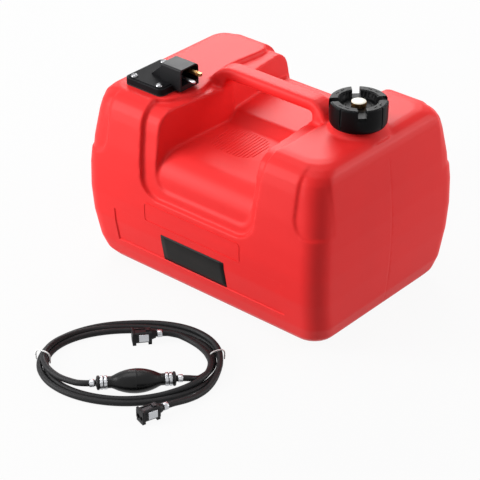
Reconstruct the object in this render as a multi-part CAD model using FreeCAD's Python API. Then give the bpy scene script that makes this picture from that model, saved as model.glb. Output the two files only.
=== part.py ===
"""Portable outboard fuel tank with its fuel line: blow-moulded tank, vented filler cap,
quick-connect outlet with dip tube, and a coiled hose with primer bulb and two connectors.

Millimetres, +Z up.  The origin is at the middle of the tank's base, +X runs along the tank
towards the filler, and the finger recess below the handle opens towards -Y and +Y.
"""
import FreeCAD, Part
import functools
import math
import os
from FreeCAD import Vector

os.makedirs("parts", exist_ok=True)

# ---------------------------------------------------------------- driving dimensions
# tank body
TANK_LENGTH = 360.0
TANK_WIDTH = 264.0
TANK_HEIGHT = 230.0
WALL = 3.0
WIDEST_Z = 109.0            # height of the fullest girth
END_BULGE_LOW = 8.0         # how far the ends draw in towards the base
END_BULGE_UP = 13.0
SIDE_BULGE_LOW = 20.0
SIDE_BULGE_UP = 16.5
BASE_ROUND = 32.0
END_SHOULDER = 20.0
SIDE_SHOULDER = 30.0
CORNER_ROUND = 25.0
BASE_RECESS = 2.0           # hollow in the underside, so that the tank stands on its rim
BASE_RIM = 22.0

# corner scallops
SCALLOP_DEPTH = 2.4
SCALLOP_FADE = 0.5          # what is left of the step on the ends
SCALLOP_INNER_Y = 100.0
SCALLOP_INNER_X = 141.0
SCALLOP_FOOT_Z = 152.0
SCALLOP_ROUND = 22.0

# trough over the top and down both sides
LEDGE_DEPTH = 5.6
LEDGE_BOTTOM_Z = 121.0
LEDGE_HALF = 88.0
LEDGE_ROUND = 28.0
LEDGE_LEAN = 12.0           # how far its outer edges lean out on the way up
LEDGE_TOP_LEFT = -80.0      # its left edge over the top: at the shoulders, beside the outlet, at the handle
LEDGE_TOP_NEAR = -67.0
LEDGE_TOP_MID = -85.0
LEDGE_TOP_RIGHT = 96.0
TROUGH_TOP_LEFT = -57.0
TROUGH_TOP_RIGHT = 71.0
TROUGH_FOOT_LEFT = -52.0
TROUGH_FOOT_RIGHT = 63.0
TROUGH_DEEPER = 6.0         # how far its cutter reaches below the floor that it leaves
TROUGH_MOUTH_LEFT = -71.0   # its walls at the outer end of each mouth
TROUGH_MOUTH_RIGHT = 82.0
TROUGH_MOUTH_TAPER = 3.0    # how far they draw in towards the mouth's foot
TROUGH_BOTTOM_Z = 129.0
TROUGH_ROUND = 20.0
PANEL_DEPTH = 6.8
PANEL_BELOW = 12.0          # how far the panel's face is carried on below the ledge
FLOOR_FRONT_DROP = 57.0     # floor of the trough below the tank's top: in front, at the step, behind it
FLOOR_MID_DROP = 50.0
PLATFORM_DROP = 38.0
FLOOR_ROLL = 32.0
PLATFORM_FRONT_Y = 3.0
PLATFORM_STEP = 14.0        # how far in front of the platform its slope starts
PLATFORM_ROLL = 18.0
STEP_FOOT_ROUND = 9.0
STEP_HEAD_ROUND = 6.0
FLOOR_FRONT_Z = TANK_HEIGHT - FLOOR_FRONT_DROP
FLOOR_MID_Z = TANK_HEIGHT - FLOOR_MID_DROP
PLATFORM_Z = TANK_HEIGHT - PLATFORM_DROP

# handle
HANDLE_WIDTH = 25.0
HANDLE_THICK = 15.0
HANDLE_RISE = 19.0          # its top above the tank's
HANDLE_ROUND = 5.5
HANDLE_LEFT = -50.0         # ends of the straight grip
HANDLE_RIGHT = 66.0
HANDLE_BEND_R = 18.0
HANDLE_BEND = 58.0          # degrees that each end turns down
HANDLE_ROOT = 28.0          # straight root below each bend
HANDLE_FLARE_WIDE = 16.0    # how much wider and thicker the roots get
HANDLE_FLARE_THICK = 14.0
HANDLE_TOP_Z = TANK_HEIGHT + HANDLE_RISE

# filler neck and cap
NECK_FROM_END = 51.5
NECK_X = TANK_LENGTH / 2 - NECK_FROM_END
NECK_BORE_R = 21.5
NECK_OUTER_R = 25.0
NECK_RISE = 20.5
COLLAR_BASE_R = 38.0
COLLAR_TOP_R = 27.0
COLLAR_RISE = 6.0
CAP_R = 33.2
CAP_CLEAR = 0.4             # cap bore over the neck
CAP_GAP = 0.6               # skirt above the collar
CAP_TOP_THICK = 3.0
CAP_LUG_RISE = 9.0
CAP_EDGE = 1.5
CAP_DISH_R = 21.5
CAP_SLOT = 9.5
CAP_NOTCH = 2.2             # depth and drop of the notch below each slot
CAP_NOTCH_DROP = 2.0
CAP_GROOVE = 1.8            # groove down the middle of each lug
CAP_GROOVE_DEPTH = 1.4
GASKET_THICK = 2.0
LINER_THICK = 1.5
VENT_KNOB_R = 8.5
VENT_KNOB_RISE = 5.0
VENT_KNURLS = 18
VENT_KNURL = 1.0            # width of each notch, half of which is its depth
VENT_SHANK_R = 2.5
VENT_CLEAR = 0.4
VENT_RING_THICK = 0.8

# outlet fitting
PLATE_FROM_END = 63.0
PLATE_FROM_SIDE = 75.0
PLATE_X = PLATE_FROM_END - TANK_LENGTH / 2
PLATE_Y = PLATE_FROM_SIDE - TANK_WIDTH / 2
PLATE_LENGTH = 58.0
PLATE_WIDTH = 66.0
PLATE_THICK = 7.0
PLATE_CORNER = 7.0
PLATE_GASKET = 1.5
PLATE_RIM = 1.0             # raised face inside the plate's edge
PLATE_RIM_INSET = 2.5
SEAT_MARGIN = 2.5
SCREW_INSET_X = 9.5
SCREW_INSET_Y = 8.0
SCREW_R = 2.0
SCREW_HEAD_R = 4.4
SCREW_HEAD = 2.6
SCREW_BRIM = 1.2            # straight part of the head below its crown
SCREW_CROWN_R = 2.7
SCREW_LENGTH = 16.0
SCREW_TIP_GAP = 2.0         # free depth below the screw's tip
INSERT_R = 3.6
INSERT_LENGTH = 9.0
BOSS_R = 6.5
HOOD_START = 10.0           # the hood's ends and sides, from the plate's middle
HOOD_END = 41.0
HOOD_FRONT = 12.0
HOOD_REAR = 19.0
HOOD_RISE = 30.5            # its top above the tank's
HOOD_WALL = 2.6
HOOD_TAIL = 19.0
HOOD_TAIL_HALF = 11.0
HOOD_ROUND = 4.0
HOOD_BACK = 6.0             # extra thickness of the end wall that holds the nipple and the pin
NIPPLE_OFFSET = 8.5         # nipple and pin from the plate's middle, across the tank
NIPPLE_RISE = 22.0          # and above the tank's top
NIPPLE_R = 3.4
NIPPLE_BARREL_R = 2.8
NIPPLE_REACH = 54.5         # end of the nipple, from the plate's middle
NIPPLE_SHOULDER = 6.0
NIPPLE_TIP = 7.0
NIPPLE_SQUARE = 3.8         # across the flats of its tip
NIPPLE_BORE_R = 1.2
PIN_OFFSET = -0.5
PIN_RISE = 15.0
PIN_R = 2.4
PIN_REACH = 53.5
PIN_NOSE = 3.0
HOOD_X0 = PLATE_X + HOOD_START
HOOD_X1 = PLATE_X + HOOD_END
HOOD_Y0 = PLATE_Y - HOOD_FRONT
HOOD_Y1 = PLATE_Y + HOOD_REAR
HOOD_TOP_Z = TANK_HEIGHT + HOOD_RISE
NIPPLE_Y = PLATE_Y + NIPPLE_OFFSET
NIPPLE_Z = TANK_HEIGHT + NIPPLE_RISE
NIPPLE_END_X = PLATE_X + NIPPLE_REACH
PIN_Y = PLATE_Y + PIN_OFFSET
PIN_Z = TANK_HEIGHT + PIN_RISE
PIN_END_X = PLATE_X + PIN_REACH
SOCKET_DEPTH = 5.0
STEM_R = 10.5
STEM_DROP = 14.0
BARB_R = 3.4
BARB_LENGTH = 16.0
FUEL_BORE_R = 1.5
DIP_TUBE_WALL = 1.6
DIP_CLEAR = 0.1
DIP_TUBE_END_Z = 18.0
STRAINER_R = 9.0
STRAINER_LENGTH = 22.0
TANK_HOLE_CLEAR = 1.0

# fuel line: a kit lying beside the tank, in its own frame (u along the bulb, v away from it)
KIT_X = 22.0
KIT_FROM_TANK = 134.0       # its middle from the tank's side
KIT_Y = -TANK_WIDTH / 2 - KIT_FROM_TANK
KIT_TURN = 41.0
HOSE_R = 3.5
HOSE_BORE_R = 1.9
COIL_HALF_U = 105.0
COIL_HALF_V = 82.5
COIL_END_R = 68.0
COIL_HEIGHT = 14.0
COIL_HOLE_HALF_U = 91.0
COIL_HOLE_HALF_V = 66.0
COIL_HOLE_END_R = 52.0
COIL_HOLE_V = -4.5
COIL_EDGE = 4.2
BULB_U = 9.6
BULB_V = -51.0
BULB_TURN = 5.4
BULB_R = 13.9
BULB_HALF = 26.5
BULB_WALL = 2.6
BULB_SLEEVE_WALL = 1.8
BULB_NECK_R = 6.6
BULB_SLEEVE = 15.0          # length of each straight sleeve past the oval
VALVE_DEPTH = 11.0          # how far the valve body goes into the sleeve
VALVE_BORE_R = 1.0
VALVE_FLOOR = 4.0           # where its pocket ends, from the flange
VALVE_WEB = 2.0             # web that closes the outlet's pocket
VALVE_BARB = 12.0
CHECK_THICK = 0.8
CHECK_STALK_R = 0.8
CHECK_STALK = 1.8
VALVE_FLANGE_R = 8.2
VALVE_FLANGE = 2.4
BAND_R = 7.7
BAND_WIDTH = 3.0
BAND_STEP = 4.6
CLIP_R = 4.5
CLIP_WIDTH = 4.6
PLUG_LENGTH = 27.0
PLUG_WIDTH = 15.0
PLUG_HEIGHT = 16.0
PLUG_ROUND = 4.0
PLUG_SHOULDER = 5.0
PLUG_BARB = 9.0
PLUG_AXIS_Z = 9.5
PLUG_SOCKET_R = 3.0
PLUG_SOCKET = 12.0
SOCKET_Y = 2.6
SOCKET_Z = -2.4
PLUG_PIN_R = 2.6
PIN_SOCKET_Y = -4.0
PIN_SOCKET_Z = -2.4
SEAL_THICK = 1.6
SEAL_R = 3.5
SEAL_BORE_R = 1.7
POPPET_R = 2.0
POPPET_CLEAR = 0.3
POPPET_HEAD = 1.6
POPPET_NOSE_R = 1.1
POPPET_CHAMBER = 6.0
LATCH_WIDTH = 6.0
LATCH_THICK = 1.6
LATCH_SUNK = 0.8            # plate below the connector's back
LATCH_PROUD = 1.4           # press above it
LATCH_PRESS = 4.0
LATCH_FRONT = 3.0
LATCH_BACK = 20.0
LATCH_ROOM = 1.4            # depth that the press has to go down
LATCH_PIVOT_R = 0.7
LATCH_PIN = 10.0
TIE_WIDTH = 1.6
TIE_THICK = 0.7
TIE_V = 6.0
TIE_LIFT = 1.6              # how far inside the coil's hole the tie's inner leg stands
FIT = 0.05                  # radial clearance of a pivot or plunger

SLIT = 0.3                  # gap left between pieces that meet without being fixed

SIDES = (-1, 1)


# ---------------------------------------------------------------- helpers
def box(x0, x1, y0, y1, z0, z1):
    """Block between two corners."""
    return Part.makeBox(x1 - x0, y1 - y0, z1 - z0, Vector(x0, y0, z0))


def post(radius, x, y, z0, z1):
    """Upright cylinder from z0 to z1."""
    return Part.makeCylinder(radius, z1 - z0, Vector(x, y, z0))


def rod_x(radius, x0, x1, y, z):
    """Cylinder along X."""
    return Part.makeCylinder(radius, x1 - x0, Vector(x0, y, z), Vector(1, 0, 0))


def fuse(shapes):
    """One solid from several that overlap."""
    whole = shapes[0].fuse(shapes[1:])
    return whole.removeSplitter()


def rounded_wire(points, radii, place):
    """Closed wire of straight runs and tangent arcs.  place turns a 2D point into 3D."""
    count = len(points)
    edges = []
    ends = []
    for i in range(count):
        corner = Vector(*points[i], 0)
        back = Vector(*points[i - 1], 0) - corner
        ahead = Vector(*points[(i + 1) % count], 0) - corner
        back.normalize()
        ahead.normalize()
        half_turn = (math.pi - back.getAngle(ahead)) / 2
        cut = radii[i] * math.tan(half_turn)
        bisector = back + ahead
        start = corner + back * cut
        end = corner + ahead * cut
        if radii[i] > 0:
            bisector.normalize()
            reach = radii[i] / math.cos(half_turn) - radii[i]
            middle = corner + bisector * reach
            ends.append((start, middle, end))
        else:
            ends.append((corner, None, corner))
    for i in range(count):
        start, middle, end = ends[i]
        if middle is not None:
            edges.append(Part.Arc(place(start), place(middle), place(end)).toShape())
        following = ends[(i + 1) % count][0]
        if (following - end).Length > 1e-6:
            edges.append(Part.LineSegment(place(end), place(following)).toShape())
    return Part.Wire(edges)


def prism_along_y(points, radii, y0, y1):
    """Solid with an outline in XZ, from y0 to y1."""
    wire = rounded_wire(points, radii, lambda p: Vector(p.x, y0, p.y))
    return Part.Face(wire).extrude(Vector(0, y1 - y0, 0))


def prism_along_x(points, radii, x0, x1):
    """Solid with an outline in YZ, from x0 to x1."""
    wire = rounded_wire(points, radii, lambda p: Vector(x0, p.x, p.y))
    return Part.Face(wire).extrude(Vector(x1 - x0, 0, 0))


def prism_along_z(points, radii, z0, z1):
    """Solid with an outline in XY, from z0 to z1."""
    wire = rounded_wire(points, radii, lambda p: Vector(p.x, p.y, z0))
    return Part.Face(wire).extrude(Vector(0, 0, z1 - z0))


def rounded_rectangle(x0, x1, y0, y1, radius):
    """Corner points and radii of a rectangle."""
    return [(x0, y0), (x1, y0), (x1, y1), (x0, y1)], [radius] * 4


# ---------------------------------------------------------------- tank
def half_width(z, full, bulge_low, bulge_up, shoulder, trim):
    """Half of the tank's size at height z, with the surface moved in by trim."""
    if z <= WIDEST_Z:
        bulge, rise, corner, depth = bulge_low, WIDEST_Z, BASE_ROUND, z
    else:
        bulge, rise, corner = bulge_up, TANK_HEIGHT - WIDEST_Z, shoulder
        depth = TANK_HEIGHT - z
    side_r = (rise ** 2 + bulge ** 2) / (2 * bulge)
    side_centre = full / 2 - side_r
    angle = math.asin((rise - corner) / (side_r - corner))
    round_centre = side_centre + (side_r - corner) * math.cos(angle)
    tangent_depth = corner - (corner - trim) * math.sin(angle)
    if depth < tangent_depth:
        return round_centre + math.sqrt(max((corner - trim) ** 2 - (corner - depth) ** 2, 0))
    return side_centre + math.sqrt((side_r - trim) ** 2 - (rise - depth) ** 2)


def half_length_at(z, trim=0.0):
    return half_width(z, TANK_LENGTH, END_BULGE_LOW, END_BULGE_UP, END_SHOULDER, trim)


def half_breadth_at(z, trim=0.0):
    return half_width(z, TANK_WIDTH, SIDE_BULGE_LOW, SIDE_BULGE_UP, SIDE_SHOULDER, trim)


# Where the sections of the body lie: degrees round the base, shares of the side, degrees round the
# shoulder.  The inside of the wall needs fewer than the outside.
OUTSIDE = ((0, 20, 40, 60), (0, 0.22, 0.41, 0.6, 0.8, 1), (66, 48, 32, 16, 0))
INSIDE = ((0, 32, 62), (0, 0.3, 0.6, 1), (60, 30, 0))


def barrel(trim, rows, longer=0.0, narrower=0.0):
    """The tank's outer form, moved in by trim all round."""
    base_turns, side_shares, shoulder_turns = rows
    heights = []
    for turn in base_turns:
        heights.append(BASE_ROUND - (BASE_ROUND - trim) * math.cos(math.radians(turn)))
    low, high = BASE_ROUND, TANK_HEIGHT - SIDE_SHOULDER
    for share in side_shares:
        heights.append(low + (high - low) * share)
    for turn in shoulder_turns:
        drop = SIDE_SHOULDER - (SIDE_SHOULDER - trim) * math.cos(math.radians(turn))
        heights.append(TANK_HEIGHT - drop)
    wires = []
    for z in heights:
        a = half_length_at(z, trim) + longer
        b = half_breadth_at(z, trim) - narrower
        points, radii = rounded_rectangle(-a, a, -b, b, CORNER_ROUND - trim)
        wires.append(rounded_wire(points, radii, lambda p: Vector(p.x, p.y, z)))
    return Part.makeLoft(wires, True, True)


def scallop(form, grow, rows):
    """Step the four upper corners of a form in towards the ends."""
    top = TANK_HEIGHT + 20
    far = TANK_LENGTH
    inside = barrel(grow, rows, -SCALLOP_FADE, SCALLOP_DEPTH)
    inside = inside.fuse(box(-far, far, -SCALLOP_INNER_Y, SCALLOP_INNER_Y, 0, top))
    for side in SIDES:
        inner = side * (SCALLOP_INNER_X - grow)
        outer = side * far
        points = [(inner, top), (inner, SCALLOP_FOOT_Z - grow), (outer, SCALLOP_FOOT_Z - grow), (outer, top)]
        zone = prism_along_y(points, [0, SCALLOP_ROUND + grow, 0, 0], -far, far)
        form = form.cut(form.common(zone).cut(inside))
    return form


def u_outline(left, right, bottom, radius, top, lean):
    """U in XZ with its arms leaning out by lean on the way up."""
    points = [(left - lean, top), (left, bottom), (right, bottom), (right + lean, top)]
    return points, [0, radius, radius, 0]


def ledge_cut(grow, rows):
    """Shallow step that frames the trough, over the top and down both sides."""
    top = TANK_HEIGHT + 60
    far = TANK_WIDTH
    foot = LEDGE_HALF - LEDGE_LEAN / 3 + grow
    points, radii = u_outline(-foot, foot, LEDGE_BOTTOM_Z - grow, LEDGE_ROUND + grow, top, LEDGE_LEAN)
    tool = prism_along_y(points, radii, -far, far)
    # seen from above, the left edge steps in beside the outlet fitting and out at the handle
    brow = half_breadth_at(TANK_HEIGHT) + 8
    plan = [(LEDGE_TOP_RIGHT + grow, -far), (LEDGE_TOP_RIGHT + grow, far),
            (-far, far), (-far, brow + 25), (LEDGE_TOP_LEFT - grow, brow),
            (LEDGE_TOP_MID - grow, 45), (LEDGE_TOP_MID - grow, 20), (LEDGE_TOP_NEAR - grow, -45),
            (LEDGE_TOP_LEFT - grow, -brow + 10), (-far, -brow - 25), (-far, -far)]
    tool = tool.common(prism_along_z(plan, [0, 0, 0, 0, 20, 25, 25, 25, 20, 0, 0], 0, top))
    return tool.cut(barrel(LEDGE_DEPTH + grow, rows))


def trough_section(y, left_top, right_top, left_foot, right_foot, bottom, radius, top_z):
    """Closed wire across the trough at one y."""
    slope_l = (left_top - left_foot) / (TANK_HEIGHT - bottom)
    slope_r = (right_top - right_foot) / (TANK_HEIGHT - bottom)
    extra = top_z - TANK_HEIGHT
    points = [(left_top + slope_l * extra, top_z), (left_foot, bottom), (right_foot, bottom),
              (right_top + slope_r * extra, top_z)]
    return rounded_wire(points, [0, radius, radius, 0], lambda p: Vector(p.x, y, p.y))


def trough_cut(grow):
    """The trough itself: walls that open out towards both sides, over a stepped floor."""
    top = TANK_HEIGHT + 60
    far = TANK_WIDTH / 2 + 10
    tools = []
    for side in SIDES:
        inner = trough_section(0, TROUGH_TOP_LEFT - grow, TROUGH_TOP_RIGHT + grow, TROUGH_FOOT_LEFT - grow,
                               TROUGH_FOOT_RIGHT + grow, FLOOR_FRONT_Z - grow - TROUGH_DEEPER,
                               TROUGH_ROUND, top)
        outer = trough_section(side * far, TROUGH_MOUTH_LEFT - grow, TROUGH_MOUTH_RIGHT + grow,
                               TROUGH_MOUTH_LEFT + TROUGH_MOUTH_TAPER - grow,
                               TROUGH_MOUTH_RIGHT - TROUGH_MOUTH_TAPER + grow,
                               TROUGH_BOTTOM_Z - grow, TROUGH_ROUND + grow, top)
        tools.append(Part.makeLoft([inner, outer], True, True))
    tool = fuse(tools)
    low = LEDGE_BOTTOM_Z - PANEL_BELOW
    inset = PANEL_DEPTH + grow
    front = half_breadth_at(low) - inset
    brow = half_breadth_at(FLOOR_FRONT_Z) - inset
    back = half_breadth_at(PLATFORM_Z) - inset
    slope_y = PLATFORM_FRONT_Y - PLATFORM_STEP
    floor = [(-front, low), (-brow, FLOOR_FRONT_Z - grow), (slope_y, FLOOR_MID_Z - grow),
             (PLATFORM_FRONT_Y, PLATFORM_Z - grow), (back, PLATFORM_Z - grow), (front, low)]
    radii = [0, FLOOR_ROLL - grow, STEP_FOOT_ROUND + grow, STEP_HEAD_ROUND, PLATFORM_ROLL - grow, 0]
    core = prism_along_x(floor, radii, -TANK_LENGTH, TANK_LENGTH)
    return tool.cut(core)


def handle_end(start, side):
    """Sections from one end of the straight grip, round its bend and down the root.

    Each is its middle's x and z, its lean in radians and its share of the flare."""
    level = HANDLE_TOP_Z - HANDLE_THICK / 2
    sections = []
    for share in (0, 0.25, 0.5, 0.75, 1):
        turn = math.radians(HANDLE_BEND * share)
        x = start + side * HANDLE_BEND_R * math.sin(turn)
        z = level - HANDLE_BEND_R * (1 - math.cos(turn))
        sections.append((x, z, -side * turn, 0.4 * share ** 2))
    for share in (0.5, 1):
        run = HANDLE_ROOT * share
        sections.append((x + side * run * math.cos(turn), z - run * math.sin(turn), -side * turn,
                         0.4 + 0.6 * share))
    return sections


def handle(trim):
    """Arched bar over the trough, wider and thicker where it grows out of the tank."""
    sections = handle_end(HANDLE_LEFT, -1)[::-1] + handle_end(HANDLE_RIGHT, 1)
    wires = []
    for x, z, lean, flare in sections:
        half_y = (HANDLE_WIDTH + HANDLE_FLARE_WIDE * flare) / 2 - trim
        half_t = (HANDLE_THICK + HANDLE_FLARE_THICK * flare) / 2 - trim
        points, radii = rounded_rectangle(-half_y, half_y, -half_t, half_t, HANDLE_ROUND - trim)

        def place(p):
            return Vector(x - p.y * math.sin(lean), p.x, z + p.y * math.cos(lean))
        wires.append(rounded_wire(points, radii, place))
    return Part.makeLoft(wires, True, True)


def screw_places():
    """The four screws of the outlet plate."""
    for sx in SIDES:
        for sy in SIDES:
            yield (PLATE_X + sx * (PLATE_LENGTH / 2 - SCREW_INSET_X),
                   PLATE_Y + sy * (PLATE_WIDTH / 2 - SCREW_INSET_Y))


def plate_outline(margin, z0, z1):
    """Rounded plate of the outlet fitting, with a margin round it."""
    half_x = PLATE_LENGTH / 2 + margin
    half_y = PLATE_WIDTH / 2 + margin
    points, radii = rounded_rectangle(PLATE_X - half_x, PLATE_X + half_x, PLATE_Y - half_y, PLATE_Y + half_y,
                                      PLATE_CORNER + margin)
    return prism_along_z(points, radii, z0, z1)


def neck_collar():
    """Cone that leads from the tank's top up to the filler neck."""
    root = WALL
    return Part.makeCone(COLLAR_BASE_R, COLLAR_TOP_R, COLLAR_RISE + root, Vector(NECK_X, 0, TANK_HEIGHT - root))


def base_recess(grow):
    """Shallow hollow under the tank."""
    half_x = half_length_at(0) - BASE_RIM + grow
    half_y = half_breadth_at(0) - BASE_RIM + grow
    points, radii = rounded_rectangle(-half_x, half_x, -half_y, half_y, CORNER_ROUND)
    return prism_along_z(points, radii, -1, BASE_RECESS + grow)


def tank_form(trim):
    """The tank's outside (trim = 0) or the inside of its wall (trim = WALL), with trough and handle."""
    rows = INSIDE if trim else OUTSIDE
    form = scallop(barrel(trim, rows), trim, rows)
    form = form.cut([ledge_cut(trim, rows), base_recess(trim)])
    form = form.cut(trough_cut(trim))
    return form.fuse(handle(trim))


def tank_shell():
    outer = tank_form(0)
    seat = plate_outline(SEAT_MARGIN, TANK_HEIGHT - 12, TANK_HEIGHT)
    neck = post(NECK_OUTER_R, NECK_X, 0, TANK_HEIGHT - 5, TANK_HEIGHT + NECK_RISE)
    outer = outer.fuse([seat, neck_collar(), neck])
    hollow = tank_form(WALL)
    bosses = []
    for x, y in screw_places():
        bosses.append(post(BOSS_R, x, y, TANK_HEIGHT - SCREW_LENGTH - 1, TANK_HEIGHT))
    hollow = hollow.cut(bosses)
    bores = [post(NECK_BORE_R, NECK_X, 0, TANK_HEIGHT - 10, TANK_HEIGHT + NECK_RISE + 1),
             post(STEM_R + TANK_HOLE_CLEAR, PLATE_X, PLATE_Y, TANK_HEIGHT - 10, TANK_HEIGHT + 1)]
    for x, y in screw_places():
        bores.append(post(INSERT_R, x, y, TANK_HEIGHT - INSERT_LENGTH, TANK_HEIGHT + 1))
        bores.append(post(SCREW_R + SLIT, x, y, TANK_HEIGHT - SCREW_LENGTH + 1, TANK_HEIGHT + 1))
    return outer.cut(hollow).cut(bores)


# ---------------------------------------------------------------- filler cap
NECK_TOP_Z = TANK_HEIGHT + NECK_RISE
LINER_Z = NECK_TOP_Z + GASKET_THICK
CAP_PLATE_Z = LINER_Z + LINER_THICK
CAP_RIM_Z = CAP_PLATE_Z + CAP_TOP_THICK
CAP_FOOT_Z = TANK_HEIGHT + COLLAR_RISE + CAP_GAP
VENT_SEAT_Z = CAP_RIM_Z + VENT_RING_THICK


def ring(r_in, r_out, x, y, z0, z1):
    return post(r_out, x, y, z0, z1).cut(post(r_in, x, y, z0 - 1, z1 + 1))


def cap_gasket():
    return ring(NECK_BORE_R, NECK_OUTER_R - 0.2, NECK_X, 0, NECK_TOP_Z, NECK_TOP_Z + GASKET_THICK)


def cap_liner():
    return ring(VENT_SHANK_R + VENT_CLEAR, NECK_OUTER_R - 0.2, NECK_X, 0, LINER_Z, LINER_Z + LINER_THICK)


def filler_cap():
    """Skirt and top plate, with four lugs that stand up round a dish."""
    top = CAP_RIM_Z + CAP_LUG_RISE
    bore = NECK_OUTER_R + CAP_CLEAR
    profile = [(CAP_R, CAP_FOOT_Z), (CAP_R, top - 3 * CAP_EDGE), (CAP_R - CAP_EDGE, top),
               (CAP_DISH_R + CAP_EDGE, top), (CAP_DISH_R, CAP_RIM_Z), (0, CAP_RIM_Z), (0, CAP_PLATE_Z),
               (bore, CAP_PLATE_Z), (bore, CAP_FOOT_Z)]
    points = [Vector(NECK_X + r, 0, z) for r, z in profile]
    face = Part.Face(Part.makePolygon(points + points[:1]))
    cap = face.revolve(Vector(NECK_X, 0, 0), Vector(0, 0, 1), 360)
    half = CAP_SLOT / 2
    cuts = []
    for turn in (45, 135, 225, 315):
        slot = box(CAP_DISH_R - 3, CAP_R + 1, -half, half, CAP_RIM_Z, top + 1)
        notch = box(CAP_R - CAP_NOTCH, CAP_R + 1, -half, half, CAP_RIM_Z - CAP_NOTCH_DROP, top + 1)
        groove = box(CAP_R - CAP_GROOVE_DEPTH, CAP_R + 1, -CAP_GROOVE / 2, CAP_GROOVE / 2,
                     CAP_FOOT_Z - 1, top + 1)
        groove.rotate(Vector(0, 0, 0), Vector(0, 0, 1), 45)
        for cut in (slot, notch, groove):
            cut.rotate(Vector(0, 0, 0), Vector(0, 0, 1), turn)
            cut.translate(Vector(NECK_X, 0, 0))
            cuts.append(cut)
    cuts.append(post(VENT_SHANK_R + VENT_CLEAR, NECK_X, 0, CAP_PLATE_Z - 1, top))
    return cap.cut(cuts)


def vent_ring():
    return ring(VENT_SHANK_R + VENT_CLEAR, VENT_KNOB_R - 1.5, NECK_X, 0, CAP_RIM_Z, VENT_SEAT_Z)


def vent_screw():
    """Knurled knob on a shank that goes down through the cap and its liner."""
    knob = post(VENT_KNOB_R, NECK_X, 0, VENT_SEAT_Z, VENT_SEAT_Z + VENT_KNOB_RISE)
    notches = []
    half = VENT_KNURL / 2
    for i in range(VENT_KNURLS):
        notch = box(VENT_KNOB_R - half, VENT_KNOB_R + 1, -half, half, VENT_SEAT_Z - 1,
                    VENT_SEAT_Z + VENT_KNOB_RISE + 1)
        notch.rotate(Vector(0, 0, 0), Vector(0, 0, 1), i * 360 / VENT_KNURLS)
        notch.translate(Vector(NECK_X, 0, 0))
        notches.append(notch)
    shank = post(VENT_SHANK_R, NECK_X, 0, LINER_Z - 5, VENT_SEAT_Z + 1)
    return knob.cut(notches).fuse(shank).removeSplitter()


# ---------------------------------------------------------------- outlet fitting
PLATE_Z = TANK_HEIGHT + PLATE_GASKET
PLATE_TOP_Z = PLATE_Z + PLATE_THICK
STEM_END_Z = TANK_HEIGHT - STEM_DROP
BARB_END_Z = STEM_END_Z - BARB_LENGTH
SOCKET_X = HOOD_X0 + HOOD_WALL + HOOD_BACK      # the hood's inner end wall, where nipple and pin are seated


def screw_holes(radius, z0, z1):
    return [post(radius, x, y, z0, z1) for x, y in screw_places()]


def outlet_gasket():
    sheet = plate_outline(0, TANK_HEIGHT, PLATE_Z)
    holes = screw_holes(SCREW_R + SLIT, TANK_HEIGHT - 1, PLATE_Z + 1)
    return sheet.cut(holes + [post(STEM_R + SLIT, PLATE_X, PLATE_Y, TANK_HEIGHT - 1, PLATE_Z + 1)])


def outlet_housing():
    """Screwed-down plate with a hood over the nipple and a barbed stem into the tank."""
    plate = plate_outline(0, PLATE_Z, PLATE_TOP_Z)
    rim = plate_outline(-PLATE_RIM_INSET, PLATE_TOP_Z - 1, PLATE_TOP_Z + PLATE_RIM)
    arch = [(HOOD_Y0, PLATE_Z + 1), (HOOD_Y1, PLATE_Z + 1), (HOOD_Y1, HOOD_TOP_Z), (HOOD_Y0, HOOD_TOP_Z)]
    hood = prism_along_x(arch, [0, 0, HOOD_ROUND, HOOD_ROUND], HOOD_X0, HOOD_X1)
    middle_y = (HOOD_Y0 + HOOD_Y1) / 2
    points = [(HOOD_X0 + 1, PLATE_Z + 1), (HOOD_X0 + 1, HOOD_TOP_Z - 3), (HOOD_X0 - HOOD_TAIL, PLATE_TOP_Z + 2),
              (HOOD_X0 - HOOD_TAIL, PLATE_Z + 1)]
    tail = prism_along_y(points, [0] * 4, middle_y - HOOD_TAIL_HALF, middle_y + HOOD_TAIL_HALF)
    stem = post(STEM_R, PLATE_X, PLATE_Y, STEM_END_Z, PLATE_TOP_Z)
    barb = post(BARB_R - 0.6, PLATE_X, PLATE_Y, BARB_END_Z, STEM_END_Z + 1)
    barbs = [Part.makeCone(BARB_R - 0.6, BARB_R, 3, Vector(PLATE_X, PLATE_Y, BARB_END_Z + i * 4))
             for i in range(3)]
    whole = fuse([plate, rim, hood, tail, stem, barb] + barbs)
    cavity = box(SOCKET_X, HOOD_X1 + 1, HOOD_Y0 + HOOD_WALL, HOOD_Y1 - HOOD_WALL, PLATE_TOP_Z + PLATE_RIM,
                 HOOD_TOP_Z - HOOD_WALL)
    seat_x = SOCKET_X - SOCKET_DEPTH
    cuts = [cavity,
            rod_x(NIPPLE_R, seat_x, SOCKET_X, NIPPLE_Y, NIPPLE_Z),
            rod_x(PIN_R, seat_x, SOCKET_X, PIN_Y, PIN_Z),
            post(FUEL_BORE_R, PLATE_X, PLATE_Y, BARB_END_Z - 1, PLATE_TOP_Z + 2)]
    start = Vector(PLATE_X, PLATE_Y, PLATE_TOP_Z + 1)
    run = Vector(seat_x + 0.5, NIPPLE_Y, NIPPLE_Z) - start
    cuts.append(Part.makeCylinder(FUEL_BORE_R, run.Length, start, run))
    cuts += screw_holes(SCREW_R + SLIT, PLATE_Z - 1, PLATE_TOP_Z + 5)
    return whole.cut(cuts)


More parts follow.
